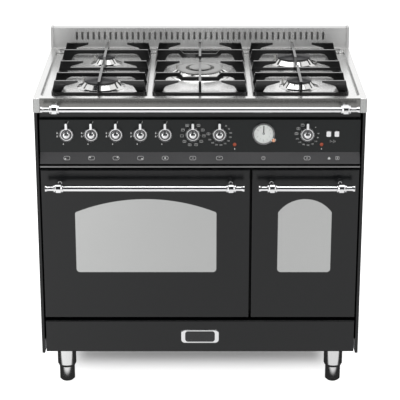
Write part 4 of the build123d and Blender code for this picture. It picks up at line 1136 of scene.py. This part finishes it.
@dataclass
class Fasteners(SubAssembly):
    """Cross-head screws on the rear panel, the fan cover and the door liners."""

    radius: float = 3.4 * MM
    rise: float = 1.6 * MM
    round_under: float = 40.0
    edge: float = 9.0 * MM
    cover_inset: float = 14.0 * MM
    liner_inset: float = 10.0 * MM
    columns: int = 5
    rows: int = 4

    def build(self) -> None:
        """Places the screws of every panel."""
        self.put("rear_panel_screws", ROOT_BODY, self.rear_spots())
        self.put("fan_cover_screws", ROOT_BODY, self.corner_spots("fan_cover", self.cover_inset, Side.FRONT))
        for door in ("main_door", "small_door"):
            self.put(f"{door}_screws", door, self.corner_spots(f"{door}_liner", self.liner_inset, Side.BACK))

    def put(self, name: str, body: str, spots: list[Spot]) -> None:
        """Makes one piece of equal screws, with a plane under each head."""
        head = screw_head(self.radius, self.rise)
        self.add(name, joined([head.on(spot) for spot in spots]), body, Look.SCREW, self.round_under)

    def rear_spots(self) -> list[Spot]:
        """A row of screws along the top and the bottom of the rear panel, and a column at each side.

        Returns:
            A plane for each screw.
        """
        low, high = corners("rear_panel")
        across = np.linspace(low[0] + self.edge, high[0] - self.edge, self.columns)
        up = np.linspace(low[2] + self.edge, high[2] - self.edge, self.rows)
        places = [(x, z) for x in across for z in (up[0], up[-1])]
        places += [(x, z) for x in (across[0], across[-1]) for z in up[1:-1]]
        return [Spot.facing(Side.BACK, x, high[1], z) for x, z in places]

    @staticmethod
    def corner_spots(node: str, inset: float, side: Side) -> list[Spot]:
        """The four corners of a plate, a little way in.

        Args:
            node: The plate's node.
            inset: The distance from its edges.
            side: The side that the screws are on.

        Returns:
            A plane for each screw.
        """
        low, high = corners(node)
        y = low[1] if side is Side.FRONT else high[1]
        return [Spot.facing(side, x, y, z) for x in (low[0] + inset, high[0] - inset)
                for z in (low[2] + inset, high[2] - inset)]


@dataclass
class GasInlet(SubAssembly):
    """The thread on the gas inlet at the back."""

    pitch: float = 1.8 * MM
    depth: float = 0.9 * MM
    skin: float = 0.3 * MM
    round_under: float = 60.0

    def build(self) -> None:
        """Wraps the inlet stub in its thread."""
        mount = next(row for row in frame["record"]["mounts"] if row["name"] == "gas_inlet")
        radius, length = (mount["dims"][key] * MM for key in ("r_mm", "length_mm"))
        x, _, z = mount["pos_m"]
        spot = Spot.facing(Side.BACK, x, corners("gas_manifold")[1][1] - length, z)
        thread = thread_sleeve(radius + self.depth + self.skin, length, self.pitch, self.depth)
        self.add("gas_inlet_thread", thread.on(spot), ROOT_BODY, Look.THREAD, self.round_under)


@dataclass(frozen=True)
class Lamp:
    """A soft rectangular lamp: its place, what it points at, its width and height, its power in watts."""

    name: str
    place: Triple
    aim: Triple
    size: Pair
    power: float
    mirrored: bool = True

    def hang(self) -> None:
        """Puts the lamp in its place, turned towards its aim."""
        light = bpy.data.lights.new(self.name, "AREA")
        light.shape = "RECTANGLE"
        light.size, light.size_y = self.size
        light.energy = self.power
        holder = bpy.data.objects.new(self.name, light)
        holder.location = self.place
        holder.visible_glossy = self.mirrored
        x, y, z = np.array(self.aim) - np.array(self.place)
        holder.rotation_euler = (math.atan2(math.hypot(x, y), -z), 0, math.atan2(y, x) - math.pi / 2)
        bpy.context.scene.collection.objects.link(holder)


@dataclass
class Studio:
    """A pale floor, soft lamps, a white surround and the camera."""

    floor_half: float = 14.0
    floor_points: int = 9
    floor_albedo: float = 0.82
    floor_roughness: float = 0.9
    open_lift: float = 0.8
    covered_lift: float = 0.16
    side_shade: Pair = (0.04, 0.12)
    deep_shade: Pair = (0.145, 0.275)
    cover_ends: Pair = (0.0, 0.05)
    mirror_floor: float = 0.94
    mirror_shade: float = 0.03
    left_to_right: Pair = (-0.75, 0.1)
    left_level: float = 1.2
    right_level: float = 0.97
    far_to_near: Pair = (-6.0, -5.2)
    first_mirror_depth: float = 1.5
    second_mirror: float = 0.3
    surround: float = 0.62
    dark_half: Colour = (0.03, 0.03, 0.032)
    dark_narrowing: float = 0.25
    dark_front: Pair = (0.0, 0.12)
    dark_foot: Pair = (0.0, 0.06)
    dark_top: Pair = (0.97, 0.92)
    camera_place: Triple = (0.0, -4.372, 1.998)
    camera_pitch: float = 19.3
    camera_reach: float = 100.0
    focal_pixels: float = 1583.2
    sensor: float = 36.0

    LAMPS = (
        Lamp("key_lamp", (-0.25, -0.35, 3.4), (0, 0, 0.5), (6.0, 1.7), 57.0),
        Lamp("left_lamp", (-3.4, -1.6, 1.7), (0, 0, 0.5), (1.4, 2.2), 16.0),
        Lamp("right_lamp", (3.6, -1.2, 1.6), (0, 0, 0.5), (1.2, 2.0), 8.0),
        Lamp("front_lamp", (0.4, -4.6, 2.2), (0, 0, 0.6), (3.0, 1.6), 60.0, False))

    def build(self) -> None:
        """Sets the stage and the view."""
        bpy.context.scene.view_settings.view_transform = "Standard"
        self.lay_floor()
        self.light_world()
        for lamp in self.LAMPS:
            lamp.hang()
        self.set_camera()

    def lay_floor(self) -> None:
        """A flat floor, as a square grid of points."""
        count = self.floor_points
        side = np.linspace(-self.floor_half, self.floor_half, count)
        x, y = np.meshgrid(side, side, indexing="ij")
        points = np.stack((x, y, np.zeros_like(x)), 2).reshape(-1, 3)
        mesh = bpy.data.meshes.new("floor")
        mesh.from_pydata(points, [], grid_quads(count, count, round_columns=False)[:, ::-1].tolist())
        mesh.materials.append(self.floor_finish())
        floor = bpy.data.objects.new("floor", mesh)
        bpy.context.scene.collection.objects.link(floor)
        floor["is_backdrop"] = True

    def floor_finish(self) -> Material:
        """A pale finish that camera and glass see as white where no shadow falls, and mirrors as a painted floor.

        The ways out from under the cooker, to its nearer side and its nearer end, shade it there: its glow drops
        under the cooker, a painted shadow on top of the real one. Mirrors see glow alone, painted dark under the
        cooker and far ahead, and brighter to the left.

        Returns:
            The floor's material.
        """
        material = bpy.data.materials.new("pale_floor")
        tree = NodeTree.fresh(material)
        path = tree.add("LightPath")
        place = tree.add("SeparateXYZ", tree.add("TexCoord").outputs["Object"]).outputs
        low, high = CAD_BOX
        sideways = tree.math("SUBTRACT", high[0], tree.math("ABSOLUTE", place["X"]))
        lengthways = tree.math("MINIMUM", tree.math("SUBTRACT", place["Y"], low[1]),
                               tree.math("SUBTRACT", high[1], place["Y"]))
        pale = tree.add("BsdfPrincipled", Base_Color=(*(self.floor_albedo,) * 3, 1),
                        Roughness=self.floor_roughness, Specular_IOR_Level=0.0)
        # Painted shadow: the floor's glow drops under the cooker, on top of its real shadow.
        shade = tree.product(tree.step(sideways, self.side_shade), tree.step(lengthways, self.deep_shade))
        lift = tree.span(shade, self.open_lift, self.covered_lift)
        glow = tree.add("Emission", Strength=tree.product(self.seen_straight(tree, path), lift))
        cover = tree.step(lengthways, self.cover_ends)
        # Painted light and shade for mirrors: glow alone, dark under the cooker and far ahead, brighter to the
        # left, dimmer in a second mirror.
        level = tree.product(
            tree.span(cover, self.mirror_floor, self.mirror_shade),
            tree.span(tree.step(place["X"], self.left_to_right), self.left_level, self.right_level),
            tree.span(tree.step(place["Y"], self.far_to_near), self.mirror_shade, 1.0),
            tree.span(self.mirrored_again(tree, path), 1.0, self.second_mirror))
        mirrored = tree.add("Emission", Strength=level)
        lit = tree.add("AddShader", pale.outputs[0], glow.outputs[0])
        mixed = tree.add("MixShader", path.outputs["Is Glossy Ray"], lit.outputs[0], mirrored.outputs[0])
        tree.add("OutputMaterial", Surface=mixed.outputs[0])
        return material

    @staticmethod
    def seen_straight(tree: NodeTree, path: Node) -> Socket:
        """1 for what the camera sees by itself or through glass."""
        return tree.math("MAXIMUM", path.outputs["Is Camera Ray"], path.outputs["Is Transmission Ray"])

    def mirrored_again(self, tree: NodeTree, path: Node) -> Socket:
        """1 for what a mirror shows in another mirror."""
        return tree.math("GREATER_THAN", path.outputs["Glossy Depth"], self.first_mirror_depth)

    def light_world(self) -> None:
        """A white surround with the dark half of the studio behind the camera, for mirrors alone."""
        world = bpy.data.worlds.new("studio")
        bpy.context.scene.world = world
        tree = NodeTree.fresh(world)
        way = tree.add("SeparateXYZ", tree.add("TexCoord").outputs["Generated"]).outputs
        aside = tree.product(tree.math("ABSOLUTE", way["X"]), self.dark_narrowing)
        ahead = tree.math("SUBTRACT", tree.product(way["Y"], -1.0), aside)
        path = tree.add("LightPath")
        glossy = path.outputs["Is Glossy Ray"]
        dark = tree.product(tree.step(ahead, self.dark_front), tree.step(way["Z"], self.dark_foot),
                            tree.step(way["Z"], self.dark_top), glossy)
        bright = tree.blend(dark, (1.0, 1.0, 1.0), self.dark_half)
        bright = tree.blend(self.mirrored_again(tree, path), bright, (self.second_mirror,) * 3)
        shown = tree.math("MAXIMUM", self.seen_straight(tree, path), glossy)
        shader = tree.add("Background", Color=tree.blend(shown, (self.surround,) * 3, bright))
        tree.add("OutputWorld", Surface=shader.outputs[0])

    def set_camera(self) -> None:
        """The camera at the photograph's height, distance and tilt."""
        data = bpy.data.cameras.new("camera")
        data.sensor_width = self.sensor
        data.lens = self.focal_pixels * self.sensor / IMAGE_SIDE
        data.clip_end = self.camera_reach
        camera = bpy.data.objects.new("camera", data)
        camera.location = self.camera_place
        camera.rotation_euler = (math.radians(90 - self.camera_pitch), 0, 0)
        bpy.context.scene.collection.objects.link(camera)
        bpy.context.scene.camera = camera


def write_sizes() -> None:
    """Works out the CAD box and the dressed model's box; nothing is written."""
    boxes = {"cad": CAD_BOX, "visual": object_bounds()}
    {name: [list(low), list(high)] for name, (low, high) in boxes.items()}


def main() -> None:
    """Dresses the CAD nodes, adds the print and the small parts, and sets the stage."""
    logging.basicConfig(level=logging.INFO, format="%(message)s")
    finishes = Finishes()
    finishes.dress({
        "control_panel": "panel_enamel",
        "front_frame": "frame_enamel",
        "backguard": "backguard_steel",
        "hob_top": "hob_steel",
        "trim_strip": "trim_steel",
        "leg_sleeves": "leg_steel",
        "levelling_feet": "leg_steel",
    })
    for kind in (ControlPanel, KnobGrooves, ClockFace, FlapPlate, Fasteners, GasInlet):
        kind(finishes).build()
        LOG.info("built %s", kind.__name__)
    Studio().build()
    write_sizes()


if __name__ == "__main__":
    main()
